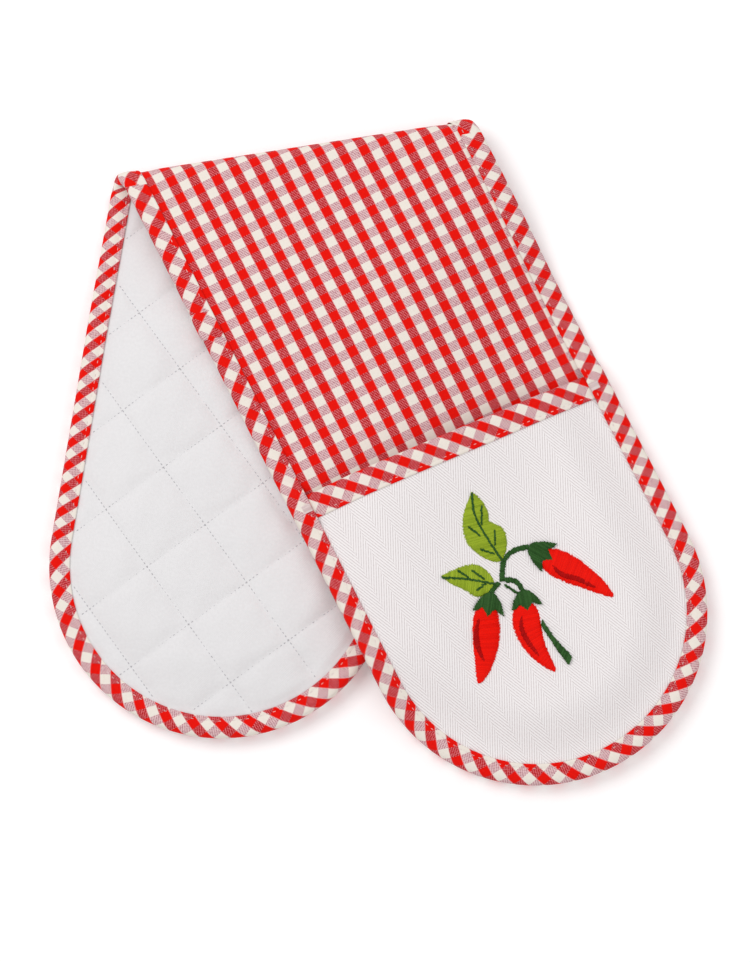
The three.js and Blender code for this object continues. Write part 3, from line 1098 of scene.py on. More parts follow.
def strip_rows(half_width: float, columns: Array, counts: Tuple[int, int, int]) -> Tuple[Array, List[slice]]:
    """Lays rows of points from the lower end over the fold to the upper end.

    Args:
        half_width: radius of the round ends.
        columns: across coordinates.
        counts: rows on the lower half, round the fold and on the upper half.

    Returns:
        The along coordinates, rows by columns, and the slices of the three parts.
    """
    low, fold, high = counts
    inset = SHAPE.half_width - half_width
    reach = np.sqrt(np.maximum(half_width**2 - columns**2, 0.0))
    low_end = -(SHAPE.lower_length - inset - half_width) - reach
    high_end = SHAPE.upper_length - inset - half_width + reach
    low_cut = SHAPE.crest_line(-SHAPE.arc, columns)
    high_cut = SHAPE.crest_line(SHAPE.arc, columns)
    parts = [
        lerp(low_end, low_cut, np.linspace(0.0, 1.0, low)[:, None]),
        lerp(low_cut, high_cut, np.linspace(0.0, 1.0, fold)[1:, None]),
        lerp(high_cut, high_end, np.linspace(0.0, 1.0, high)[1:, None]),
    ]
    rows = np.concatenate(parts)
    slices = [slice(0, low), slice(low - 1, low + fold - 1), slice(low + fold - 2, None)]
    return rows, slices


@dataclass
class StripPanel:
    """The long gingham panel, in one piece from one round end to the other."""

    edge: float = 0.0014
    cloth: float = 0.0008
    pucker: float = 0.00035

    def height(self, along: Array, across: Array) -> Array:
        """Gives the outer surface: puckered beside the binding's stitches.

        Args:
            along: strip coordinate.
            across: strip coordinate.

        Returns:
            The height.
        """
        depth = SHAPE.strip_depth(along, across)
        beside = np.exp(-((depth - 0.0125) ** 2) / (2.0 * 0.005**2))
        coarse = 0.5 + 0.3 * np.sin(along * 540.0 + across * 60.0)
        waves = coarse + 0.2 * np.sin(along * 917.0 - across * 130.0)
        return -self.pucker * beside * (0.6 + waves)

    def build(self, wardrobe: Wardrobe, linings: Dict[str, Object]) -> None:
        """Makes the panel's three parts.

        Args:
            wardrobe: the materials.
            linings: the quilted parts that it lies on.
        """
        columns = half_columns(SHAPE.half_width - self.edge, 75)
        rows, slices = strip_rows(SHAPE.half_width - self.edge, columns, (110, 25, 130))
        across = np.broadcast_to(columns, rows.shape)
        top = self.height(rows, across)
        outer = SHAPE.place(rows, across, top)
        inner = SHAPE.place(rows, across, top - self.cloth)
        shell = Shell(outer, inner, np.stack([across, rows], axis=-1))
        motions = [Motion("lower_half"), fold_motion(0.0082), Motion("upper_half")]
        for part, span, motion in zip(("lower", "fold", "upper"), slices, motions):
            obj = shell.part(f"{part}_gingham_panel", rows=span)
            wardrobe.dress(obj, "gingham")
            held = "folded" if part == "fold" else "laid"
            shell.declare(obj, held, [linings[part]], rows=span)
            if part != "fold":
                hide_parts(f"{part}_outer_panel")
            motion.apply(obj)


@dataclass
class QuiltedLining:
    """The white lining sewn to its wadding in a diamond pattern."""

    edge: float = 0.0014
    spacing: float = 0.037
    crossing_along: float = -0.2614
    crossing_across: float = -0.0115
    puff: float = 0.0021
    valley: float = 0.0048
    stitch: float = 0.0013
    gap: float = 0.0010
    thread: float = 0.00021
    margin: float = 0.0125
    fullness: float = 0.6

    def lines(self, along: Array, across: Array) -> Tuple[Array, Array]:
        """Gives the distance to the nearest quilting line of each family.

        Args:
            along: strip coordinate.
            across: strip coordinate.

        Returns:
            Two distances.
        """
        root = math.sqrt(0.5)
        distances = []
        for sign in (1.0, -1.0):
            value = (along - self.crossing_along + sign * (across - self.crossing_across)) * root
            distances.append(np.abs((value + self.spacing / 2.0) % self.spacing - self.spacing / 2.0))
        return distances[0], distances[1]

    def height(self, along: Array, across: Array) -> Array:
        """Gives the lining's surface, sunk along the quilting lines.

        Args:
            along: strip coordinate.
            across: strip coordinate.

        Returns:
            The height, less than nothing.
        """
        first, second = self.lines(along, across)
        depth = SHAPE.strip_depth(along, across)
        cushion = (1.0 - np.exp(-first / 0.0048)) * (1.0 - np.exp(-second / 0.0048))
        clear = smooth((depth - 0.011) / 0.006)
        near = np.exp(-np.minimum(first, second) / 0.007)
        pull = np.sin(along * 610.0 + 90.0 * across) * np.sin(across * 530.0 - 140.0 * along)
        broad = np.sin(along * 190.0 - across * 260.0 + 1.0) * np.sin(across * 170.0 + along * 120.0)
        creases = (0.00016 * pull * near + 0.00022 * broad) * clear
        return -self.valley - self.puff * cushion * clear - 0.0003 * (1.0 - clear) - creases

    def build(self, wardrobe: Wardrobe) -> Dict[str, Object]:
        """Makes the three parts and their quilting stitches.

        Args:
            wardrobe: the materials.

        Returns:
            The parts by name.
        """
        columns = half_columns(SHAPE.half_width - self.edge, 121)
        columns = lerp(columns, np.linspace(-1, 1, 121) * columns.max(), 0.6)
        rows, slices = strip_rows(SHAPE.half_width - self.edge, columns, (190, 31, 215))
        across = np.broadcast_to(columns, rows.shape)
        outer = SHAPE.place(rows, across, self.height(rows, across))
        inner = SHAPE.place(rows, across, np.full(rows.shape, -0.0013))
        shell = Shell(outer, inner, np.stack([across, rows], axis=-1))
        motions = [Motion("lower_half"), fold_motion(0.0022), Motion("upper_half")]
        parts: Dict[str, Object] = {}
        for part, span, motion in zip(("lower", "fold", "upper"), slices, motions):
            obj = shell.part(f"{part}_quilted_lining_pad", rows=span)
            wardrobe.dress(obj, "lining")
            if part != "fold":
                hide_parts(f"{part}_quilted_lining", f"{part}_wadding")
            motion.apply(obj)
            parts[part] = obj
        self.sew(wardrobe, motions)
        return parts

    def sewn(self, along: Array, across: Array) -> Array:
        """Says where quilting stitches can be seen: inside the binding.

        Args:
            along: strip coordinate.
            across: strip coordinate.

        Returns:
            True inside the binding.
        """
        return SHAPE.strip_depth(along, across) > self.margin

    def sew(self, wardrobe: Wardrobe, motions: List[Motion]) -> None:
        """Makes the quilting stitches.

        Args:
            wardrobe: the materials.
            motions: the motion of the lower, fold and upper parts.
        """
        root = math.sqrt(0.5)
        step = self.stitch + self.gap
        offsets = np.arange(-14, 15) * self.spacing
        places = np.arange(-240, 241) * step
        offset, place = np.meshgrid(offsets, places, indexing="ij")
        dashes = []
        for sign in (1.0, -1.0):
            ends = []
            for shift in (-self.stitch / 2.0, self.stitch / 2.0):
                run = place + shift
                along = self.crossing_along + (offset + run) * root
                across = self.crossing_across + sign * (offset - run) * root
                ends.append(np.stack([along, across], axis=-1).reshape(-1, 2))
            dashes.append(np.stack(ends, axis=1))
        path = np.concatenate(dashes)
        edge = SHAPE.arc + 0.002
        tests = {
            "lower": lambda a, v: self.sewn(a, v) & (SHAPE.from_crest(a, v) < -edge),
            "fold": lambda a, v: self.sewn(a, v) & (np.abs(SHAPE.from_crest(a, v)) < SHAPE.arc - 0.001),
            "upper": lambda a, v: self.sewn(a, v) & (SHAPE.from_crest(a, v) > edge),
        }
        for (part, test), motion in zip(tests.items(), motions):
            obj = stitch_row(f"{part}_quilting_stitches", path, self.height, -1.0, self.thread, test)
            if obj is not None:
                wardrobe.dress(obj, "quilting")
                motion.apply(obj)


# ---------------------------------------------------------------- binding tape

# Points of the folded tape's section: distance inward from the edge, share from the bottom to the top
# layer, and offset from that layer. Distances are in millimetres; first the outside, then half the inside.
EDGE_OUTSIDE = (
    (11.2, 1, 0.35), (11.15, 1, 0.8), (10.8, 1, 1.05), (10.1, 1, 1.2), (9.4, 1, 1.05), (8.9, 1, 0.85),
    (8.4, 1, 1.05), (7.4, 1, 1.4), (6.0, 1, 1.6), (4.4, 1, 1.6), (3.0, 1, 1.3), (1.7, 1, 0.7),
    (0.8, 1, -0.1), (0.2, 0.8, 0), (0.0, 0.5, 0), (0.2, 0.2, 0), (0.8, 0, 0.1), (1.7, 0, -0.7),
    (3.0, 0, -1.3), (4.4, 0, -1.6), (6.0, 0, -1.6), (7.4, 0, -1.4), (8.4, 0, -1.05), (8.9, 0, -0.85),
    (9.4, 0, -1.05), (10.1, 0, -1.2), (10.8, 0, -1.05), (11.15, 0, -0.8), (11.2, 0, -0.35),
)
EDGE_INSIDE_FIRST = (
    (11.1, 1, 0.12), (11.0, 1, 0.08), (10.7, 1, 0.08), (10.0, 1, 0.1), (9.4, 1, 0.1), (8.9, 1, 0.05),
    (8.4, 1, 0.1), (7.4, 1, 0.3), (6.0, 1, 0.5), (4.4, 1, 0.5), (3.4, 1, 0.2), (2.4, 1, -0.2),
    (1.6, 1, -0.7), (1.2, 0.75, 0),
)


def mirrored(first: Sequence[SectionPoint]) -> List[SectionPoint]:
    """Completes the inside of a folded tape from its upper half.

    Args:
        first: points of the upper half.

    Returns:
        All points, in the order of the outside.
    """
    middle = (first[-1][0] - 0.2, 0.5, 0.0)
    lower = [(inward, 1 - share, -offset) for inward, share, offset in reversed(first)]
    return list(first) + [middle] + lower


def tape_width(profile: Array) -> Array:
    """Measures along a tape's section from its top edge.

    Args:
        profile: inward, share and offset in millimetres, for a strip of ordinary thickness.

    Returns:
        The distance in metres of each point.
    """
    flat = np.stack([profile[:, 0], profile[:, 1] * 5.2 + profile[:, 2]], axis=1)
    steps = np.linalg.norm(np.diff(flat, axis=0), axis=1)
    return np.concatenate([[0.0], np.cumsum(steps)]) * MM


@dataclass
class EdgeBinding:
    """The bias tape folded over the strip's edge, all the way round."""

    station: float = 0.0022
    tape: float = 0.0110
    sewn_at: float = 0.0090
    stitch: float = 0.0017
    stitch_pitch: float = 0.0036
    fold_ease: float = 0.84
    pressed: float = 0.00085
    overlap_start: float = 0.064
    overlap: float = 0.015

    def section(self) -> Tuple[Array, Array, Array]:
        """Gives the tape's section.

        Returns:
            Outside and inside points as (inward, share, offset) in metres, and the tape coordinate of each.
        """
        outside = np.array(EDGE_OUTSIDE, float)
        inside = np.array(mirrored(EDGE_INSIDE_FIRST), float)
        width = self.tape - tape_width(outside)
        scale = np.array([MM, 1.0, MM])
        return outside * scale, inside * scale, width

    def lay(self, along: Array, across: Array, share: Array, offset: Array) -> Array:
        """Places points of the tape.

        Args:
            along: strip coordinate.
            across: strip coordinate.
            share: 1 on top of the layers and 0 under them.
            offset: distance from the layers.

        Returns:
            Points in the row frame.
        """
        from_crest = SHAPE.from_crest(along, across)
        top = np.where(
            from_crest > 0.0,
            SHAPE.seam_height(Side.UPPER, along, across),
            SHAPE.seam_height(Side.LOWER, -along, -across),
        )
        pressed = lerp(0.6, 1.0, smooth((np.abs(from_crest) - SHAPE.arc) / 0.02))
        body = lerp(-SHAPE.thickness, top, share) + offset * pressed
        return SHAPE.place(along, across, body)

    def stations(self, side: Side) -> List[Tuple[Callable[[Array], Tuple[Array, Array]], float]]:
        """Lists the sections of one half's tape, from its left side round the end to its right side.

        Args:
            side: the half.

        Returns:
            For each section a function from the inward distance to (along, across) on the half, and the
            tape's own coordinate.
        """
        straight = SHAPE.length(side) - SHAPE.half_width
        count = int(straight / self.station)
        turns = int(math.pi * SHAPE.half_width / self.station)
        middle = SHAPE.half_width - self.tape / 2.0
        total = straight + math.pi * middle
        shares = [i / count for i in range(count)]
        angles = [-math.pi / 2.0 + math.pi * i / turns for i in range(turns + 1)]
        left = [(partial(self.straight_at, straight, -1.0, share), share * straight) for share in shares]
        end = [
            (partial(self.round_at, straight, angle), straight + (angle + math.pi / 2.0) * middle)
            for angle in angles
        ]
        right = [
            (partial(self.straight_at, straight, 1.0, share), total + (1.0 - share) * straight)
            for share in reversed(shares)
        ]
        return left + end + right

    @staticmethod
    def straight_at(straight: float, sign: float, share: float, inward: Array) -> Tuple[Array, Array]:
        """Gives a section across one straight side.

        Args:
            straight: length of the straight side.
            sign: -1 on the left side and 1 on the right.
            share: place along the side, from 0 at the fold to 1 at the round end.
            inward: distances from the strip's edge.

        Returns:
            Along and across on the half.
        """
        across = sign * (SHAPE.half_width - inward)
        return lerp(SHAPE.crest_line(SHAPE.arc, across), straight, share), across

    @staticmethod
    def round_at(straight: float, angle: float, inward: Array) -> Tuple[Array, Array]:
        """Gives a section across the round end.

        Args:
            straight: length of the straight side.
            angle: place round the end, from the left side over the tip to the right.
            inward: distances from the strip's edge.

        Returns:
            Along and across on the half.
        """
        radius = SHAPE.half_width - inward
        return straight + radius * math.cos(angle), radius * math.sin(angle)

    def sweep(self, side: Side) -> Shell:
        """Makes one half's tape.

        Args:
            side: the half.

        Returns:
            Its shell.
        """
        outside, inside, width = self.section()
        outer, inner, cloth = [], [], []
        for at, tape in self.stations(side):
            for profile, target in ((outside, outer), (inside, inner)):
                along, across = at(profile[:, 0])
                target.append(
                    self.lay(side.value * along, side.value * across, profile[:, 1], profile[:, 2])
                )
            cloth.append(np.stack([np.full(len(width), tape), width], axis=-1))
        return Shell(np.array(outer), np.array(inner), np.array(cloth))

    def fold_side(self, sign: float) -> Shell:
        """Makes the tape round the fold at one side of the strip.

        Args:
            sign: -1 for the left side and 1 for the right.

        Returns:
            Its shell.
        """
        outside, inside, width = self.section()
        outer, inner, cloth = [], [], []
        for distance in np.linspace(-SHAPE.arc, SHAPE.arc, 33):
            for profile, target in ((outside, outer), (inside, inner)):
                across = sign * (SHAPE.half_width - profile[:, 0])
                along = SHAPE.crest_line(distance, across)
                target.append(self.lay(along, across, profile[:, 1], profile[:, 2]))
            cloth.append(np.stack([np.full(len(width), -sign * distance * self.fold_ease), width], axis=-1))
        return Shell(np.array(outer), np.array(inner), np.array(cloth))

    def stitches(self, side: Side, outward: float) -> Tuple[Array, Height]:
        """Lists the topstitches along one half's tape.

        Args:
            side: the half.
            outward: 1 for the gingham side and -1 for the lining side.

        Returns:
            The stitches' ends and the height that they lie at.
        """
        straight = SHAPE.length(side) - SHAPE.half_width
        radius = SHAPE.half_width - self.sewn_at
        start = SHAPE.arc + 0.004
        length = 2.0 * (straight - start) + math.pi * radius
        places = np.arange(0.0, length - 0.004, self.stitch_pitch)
        ends = np.stack([places, places + self.stitch], axis=1)
        first = straight - start
        angle = np.clip((ends - first) / radius, 0.0, math.pi) - math.pi / 2.0
        along = np.where(
            ends < first,
            start + ends,
            np.where(
                ends > first + math.pi * radius,
                straight - (ends - first - math.pi * radius),
                straight + radius * np.cos(angle),
            ),
        )
        across = radius * np.sin(angle)
        path = side.value * np.stack([along, across], axis=-1)

        return path, partial(self.sewn_height, side, outward)

    def sewn_height(self, side: Side, outward: float, along: Array, across: Array) -> Array:
        """Gives the tape's surface under its topstitches.

        Args:
            side: the half.
            outward: 1 for the gingham side and -1 for the lining side.
            along: strip coordinate.
            across: strip coordinate.

        Returns:
            The height.
        """
        if outward < 0.0:
            return np.full(np.shape(along), -SHAPE.thickness - self.pressed)
        return SHAPE.seam_height(side, side.value * along, side.value * across) + self.pressed

    def build(self, wardrobe: Wardrobe) -> None:
        """Makes the tape of both halves, the fold's two sides and the topstitches.

        Args:
            wardrobe: the materials.
        """
        for side in Side:
            name = side.name.lower()
            shell = self.sweep(side)
            obj = shell.part(f"{name}_edge_binding_tape")
            wardrobe.dress(obj, "bias")
            shell.declare(obj, "folded", [f"{name}_gingham_panel"])
            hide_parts(f"{name}_edge_binding", f"{name}_pocket_seam")
            Motion(half_body(side)).apply(obj)
            for outward, word in ((1.0, "outer"), (-1.0, "inner")):
                path, height = self.stitches(side, outward)
                row = stitch_row(f"{name}_{word}_topstitch", path, height, outward)
                wardrobe.dress(row, "thread")
                Motion(half_body(side)).apply(row)
        for sign, word in ((-1.0, "left"), (1.0, "right")):
            shell = self.fold_side(sign)
            obj = shell.part(f"fold_{word}_edge_binding_tape")
            wardrobe.dress(obj, "bias")
            shell.declare(obj, "folded", ["fold_gingham_panel"])
            fold_motion(0.0022).apply(obj)
        self.join(wardrobe)

    def join(self, wardrobe: Wardrobe) -> None:
        """Makes the folded-under end of the tape where it overlaps its own start.

        Args:
            wardrobe: the materials.
        """
        outside, inside, width = self.section()
        outer, inner, cloth = [], [], []
        for place in np.linspace(self.overlap_start, self.overlap_start + self.overlap, 9):
            share = max((place - self.overlap_start) / self.overlap, 0.0)
            ease = 0.0002 + 0.00045 * abs(math.sin(math.pi * share)) ** 0.4
            for profile, target, extra in ((outside, outer, ease), (inside, inner, 0.0003)):
                across = -(SHAPE.half_width - profile[:, 0])
                along = np.full(len(profile), place) + 0.25 * (profile[:, 0] - 0.0055)
                lift = profile[:, 2] + np.where(profile[:, 1] > 0.5, extra, -extra)
                target.append(self.lay(along, across - extra * (profile[:, 0] < 0.001), profile[:, 1], lift))
            cloth.append(np.stack([np.full(len(width), place + 0.0053), width], axis=-1))
        shell = Shell(np.array(outer), np.array(inner), np.array(cloth))
        obj = shell.part("edge_binding_overlap")
        wardrobe.dress(obj, "bias")
        shell.declare(obj, "folded", ["upper_edge_binding_tape"])
        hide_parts("binding_join")
        Motion("upper_half").apply(obj)


# ---------------------------------------------------------------- pockets

MOUTH_OUTSIDE = (
    (13.2, 1, 0.25), (13.15, 1, 0.7), (12.7, 1, 0.95), (12.0, 1, 1.05), (11.4, 1, 0.9), (11.0, 1, 0.75),
    (10.5, 1, 0.9), (9.2, 1, 1.15), (7.4, 1, 1.25), (5.2, 1, 1.25), (3.2, 1, 1.05), (1.6, 1, 0.6),
    (0.6, 1, -0.1), (0.1, 0.75, 0), (0.0, 0.5, 0), (0.1, 0.25, 0), (0.6, 0, 0.1), (1.6, 0, -0.6),
    (3.2, 0, -0.9), (5.2, 0, -0.9), (7.4, 0, -0.9), (9.2, 0, -0.9), (10.5, 0, -0.8), (11.0, 0, -0.7),
    (11.4, 0, -0.8), (12.0, 0, -0.9), (12.7, 0, -0.8), (13.15, 0, -0.6), (13.2, 0, -0.2),
)
MOUTH_INSIDE_FIRST = (
    (13.0, 1, 0.1), (12.9, 1, 0.05), (12.5, 1, 0.05), (12.0, 1, 0.05), (11.4, 1, 0.05), (11.0, 1, 0.05),
    (10.5, 1, 0.05), (9.2, 1, 0.1), (7.4, 1, 0.1), (5.2, 1, 0.1), (3.4, 1, 0.05), (2.2, 1, -0.15),
    (1.4, 1, -0.5), (1.1, 0.75, 0),
)


@dataclass
class Pocket:
    """A padded pocket: twill face, wadding and lining, sewn in at the rim and bound at the mouth."""

    side: Side
    edge: float = 0.0105
    face: float = 0.0008
    pad_inset: float = 0.0022
    fullness: float = 0.5
    tape_lift: float = 0.00075
    sewn_at: float = 0.0110
    sewn_reach: float = 0.0785
    stitch: float = 0.0017
    stitch_pitch: float = 0.0034

    @property
    def name(self) -> str:
        """The pocket's name."""
        return self.side.name.lower()

    def columns(self) -> Tuple[Array, Dict[Third, slice]]:
        """Spaces columns so that the cuts between the thirds fall on them.

        Returns:
            Across coordinates and the slice of each third.
        """
        radius = SHAPE.half_width - self.edge
        cut = math.asin(CENTRE_EDGE / radius)
        left = np.linspace(-math.pi / 2.0, -cut, 22)
        centre = np.linspace(-cut, cut, 41)
        angles = np.concatenate([left, centre[1:], -left[::-1][1:]])
        thirds = {Third.LEFT: slice(0, 22), Third.CENTRE: slice(21, 62), Third.RIGHT: slice(61, None)}
        return radius * np.sin(angles), thirds

    def layer(self, outside: float, inside: float, start: float, edge: float) -> Shell:
        """Makes one layer of the pocket.

        Args:
            outside: distance of its outer surface below the pocket's face.
            inside: distance of its inner surface below the pocket's face.
            start: distance of its edge from the mouth.
            edge: distance of its rim from the strip's edge.

        Returns:
            Its shell.
        """
        columns, _ = self.columns()
        columns = columns * (SHAPE.half_width - edge) / (SHAPE.half_width - self.edge)
        radius = SHAPE.half_width - edge
        first = SHAPE.mouth(self.side, columns) + start
        last = SHAPE.length(self.side) - SHAPE.half_width + np.sqrt(np.maximum(radius**2 - columns**2, 0.0))
        rows = lerp(first, last, np.linspace(0.0, 1.0, 95)[:, None])
        across = np.broadcast_to(columns, rows.shape)
        face = SHAPE.pocket_face(self.side, rows, across)
        outer = SHAPE.on_half(self.side, rows, across, face - outside)
        inner = SHAPE.on_half(self.side, rows, across, face - inside)
        cloth = self.side.value * np.stack([across, rows], axis=-1)
        return Shell(outer, inner, cloth)

    def mouth_tape(self) -> Tuple[Shell, Dict[Third, slice]]:
        """Makes the tape folded over the mouth.

        Returns:
            Its shell and the rows of each third.
        """
        outside = np.array(MOUTH_OUTSIDE, float)
        inside = np.array(mirrored(MOUTH_INSIDE_FIRST), float)
        width = tape_width(outside)
        reach = SHAPE.half_width - (0.0085 if self.side is Side.UPPER else 0.0114)
        side_count, middle_count = 20, 46
        left = np.linspace(-reach, -CENTRE_EDGE, side_count)
        centre = np.linspace(-CENTRE_EDGE, CENTRE_EDGE, middle_count)
        places = np.concatenate([left, centre[1:], -left[::-1][1:]])
        thirds = {
            Third.LEFT: slice(0, side_count),
            Third.CENTRE: slice(side_count - 1, side_count + middle_count - 1),
            Third.RIGHT: slice(side_count + middle_count - 2, None),
        }
        outer, inner, cloth = [], [], []
        for place in places:
            for profile, target in ((outside, outer), (inside, inner)):
                along = SHAPE.mouth(self.side, place) + profile[:, 0] * MM
                across = np.full(len(profile), place)
                face = SHAPE.pocket_face(self.side, along, across)
                height = face - SHAPE.pocket_thickness * (1.0 - profile[:, 1]) + profile[:, 2] * MM
                target.append(SHAPE.on_half(self.side, along, across, height))
            cloth.append(np.stack([np.full(len(width), place), width], axis=-1))
        return Shell(np.array(outer), np.array(inner), np.array(cloth)), thirds

    def build(self, wardrobe: Wardrobe) -> None:
        """Makes the pocket's layers, its mouth tape and stitches, third by third.

        Args:
            wardrobe: the materials.
        """
        _, thirds = self.columns()
        face = self.layer(0.0, self.face, 0.0012, self.edge)
        pad = self.layer(self.face + 0.00005, SHAPE.pocket_thickness, 0.0016, self.edge + self.pad_inset)
        for third, span in thirds.items():
            word = third.name.lower()
            inner = pad.part(f"{self.name}_pocket_lining_pad_{word}", columns=span)
            wardrobe.dress(inner, "lining")
            outer = face.part(f"{self.name}_pocket_twill_{word}", columns=span)
            wardrobe.dress(outer, "twill")
            face.declare(outer, "laid", [inner], columns=span)
            if third is Third.CENTRE:
                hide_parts(f"{self.name}_pocket_wadding", f"{self.name}_pocket_lining")
                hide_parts(f"{self.name}_pocket_face")
            for obj in (inner, outer):
                pocket_motion(self.side, third).apply(obj)
        tape, spans = self.mouth_tape()
        for third, span in spans.items():
            word = third.name.lower()
            obj = tape.part(f"{self.name}_mouth_binding_tape_{word}", rows=span)
            wardrobe.dress(obj, "bias")
            tape.declare(obj, "folded", [f"{self.name}_pocket_twill_{word}"], rows=span)
            if third is Third.CENTRE:
                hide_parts(f"{self.name}_mouth_binding")
            pocket_motion(self.side, third).apply(obj)
            self.sew(wardrobe, third)

    def sewn_height(self, along: Array, across: Array) -> Array:
        """Gives the mouth tape's surface under its topstitches.

        Args:
            along: strip coordinate.
            across: strip coordinate.

        Returns:
            The height.
        """
        sign = self.side.value
        return SHAPE.pocket_face(self.side, sign * along, sign * across) + self.tape_lift

    def in_third(self, third: Third, along: Array, across: Array) -> Array:
        """Says which points belong to a third of the pocket.

        Args:
            third: which part.
            along: strip coordinate.
            across: strip coordinate.

        Returns:
            True for each point in the third.
        """
        beside = self.side.value * across
        if third is Third.CENTRE:
            return np.abs(beside) <= CENTRE_EDGE
        return third.value * beside > CENTRE_EDGE

    def sew(self, wardrobe: Wardrobe, third: Third) -> None:
        """Makes the topstitches on a third of the mouth tape.

        Args:
            wardrobe: the materials.
            third: which part.
        """
        places = np.arange(-self.sewn_reach, self.sewn_reach, self.stitch_pitch)
        ends = np.stack([places, places + self.stitch], axis=1)
        along = SHAPE.mouth(self.side, ends) + self.sewn_at
        path = self.side.value * np.stack([along, ends], axis=-1)

        keep = partial(self.in_third, third)
        row = stitch_row(
            f"{self.name}_mouth_topstitch_{third.name.lower()}", path, self.sewn_height, keep=keep
        )
        wardrobe.dress(row, "thread")
        pocket_motion(self.side, third).apply(row)


# ---------------------------------------------------------------- embroidery


def curve(points: Sequence[Point], count: int = 60) -> Array:
    """Draws a smooth curve through points.

    Args:
        points: points in millimetres.
        count: number of points given back.

    Returns:
        Points by two, evenly spaced.
    """
    given = np.array(points, float)
    ends = np.concatenate([[2 * given[0] - given[1]], given, [2 * given[-1] - given[-2]]])
    dense: List[Array] = []
    for i in range(len(given) - 1):
        a, b, c, d = ends[i : i + 4]
        t = np.linspace(0.0, 1.0, 24, endpoint=False)[:, None]
        dense.append(
            0.5 * (2 * b + (c - a) * t + (2 * a - 5 * b + 4 * c - d) * t**2 + (3 * b - a - 3 * c + d) * t**3)
        )
    line = np.concatenate(dense + [given[-1:]])
    steps = np.concatenate([[0.0], np.cumsum(np.linalg.norm(np.diff(line, axis=0), axis=1))])
    at = np.linspace(0.0, steps[-1], count)
    return np.stack([np.interp(at, steps, line[:, k]) for k in range(2)], axis=1)


def sides_of(line: Array) -> Array:
    """Gives unit vectors square to a curve.

    Args:
        line: points by two.

    Returns:
        Vectors by two.
    """
    along = np.gradient(line, axis=0)
    along /= np.linalg.norm(along, axis=1, keepdims=True) + 1e-12
    return np.stack([-along[:, 1], along[:, 0]], axis=1)


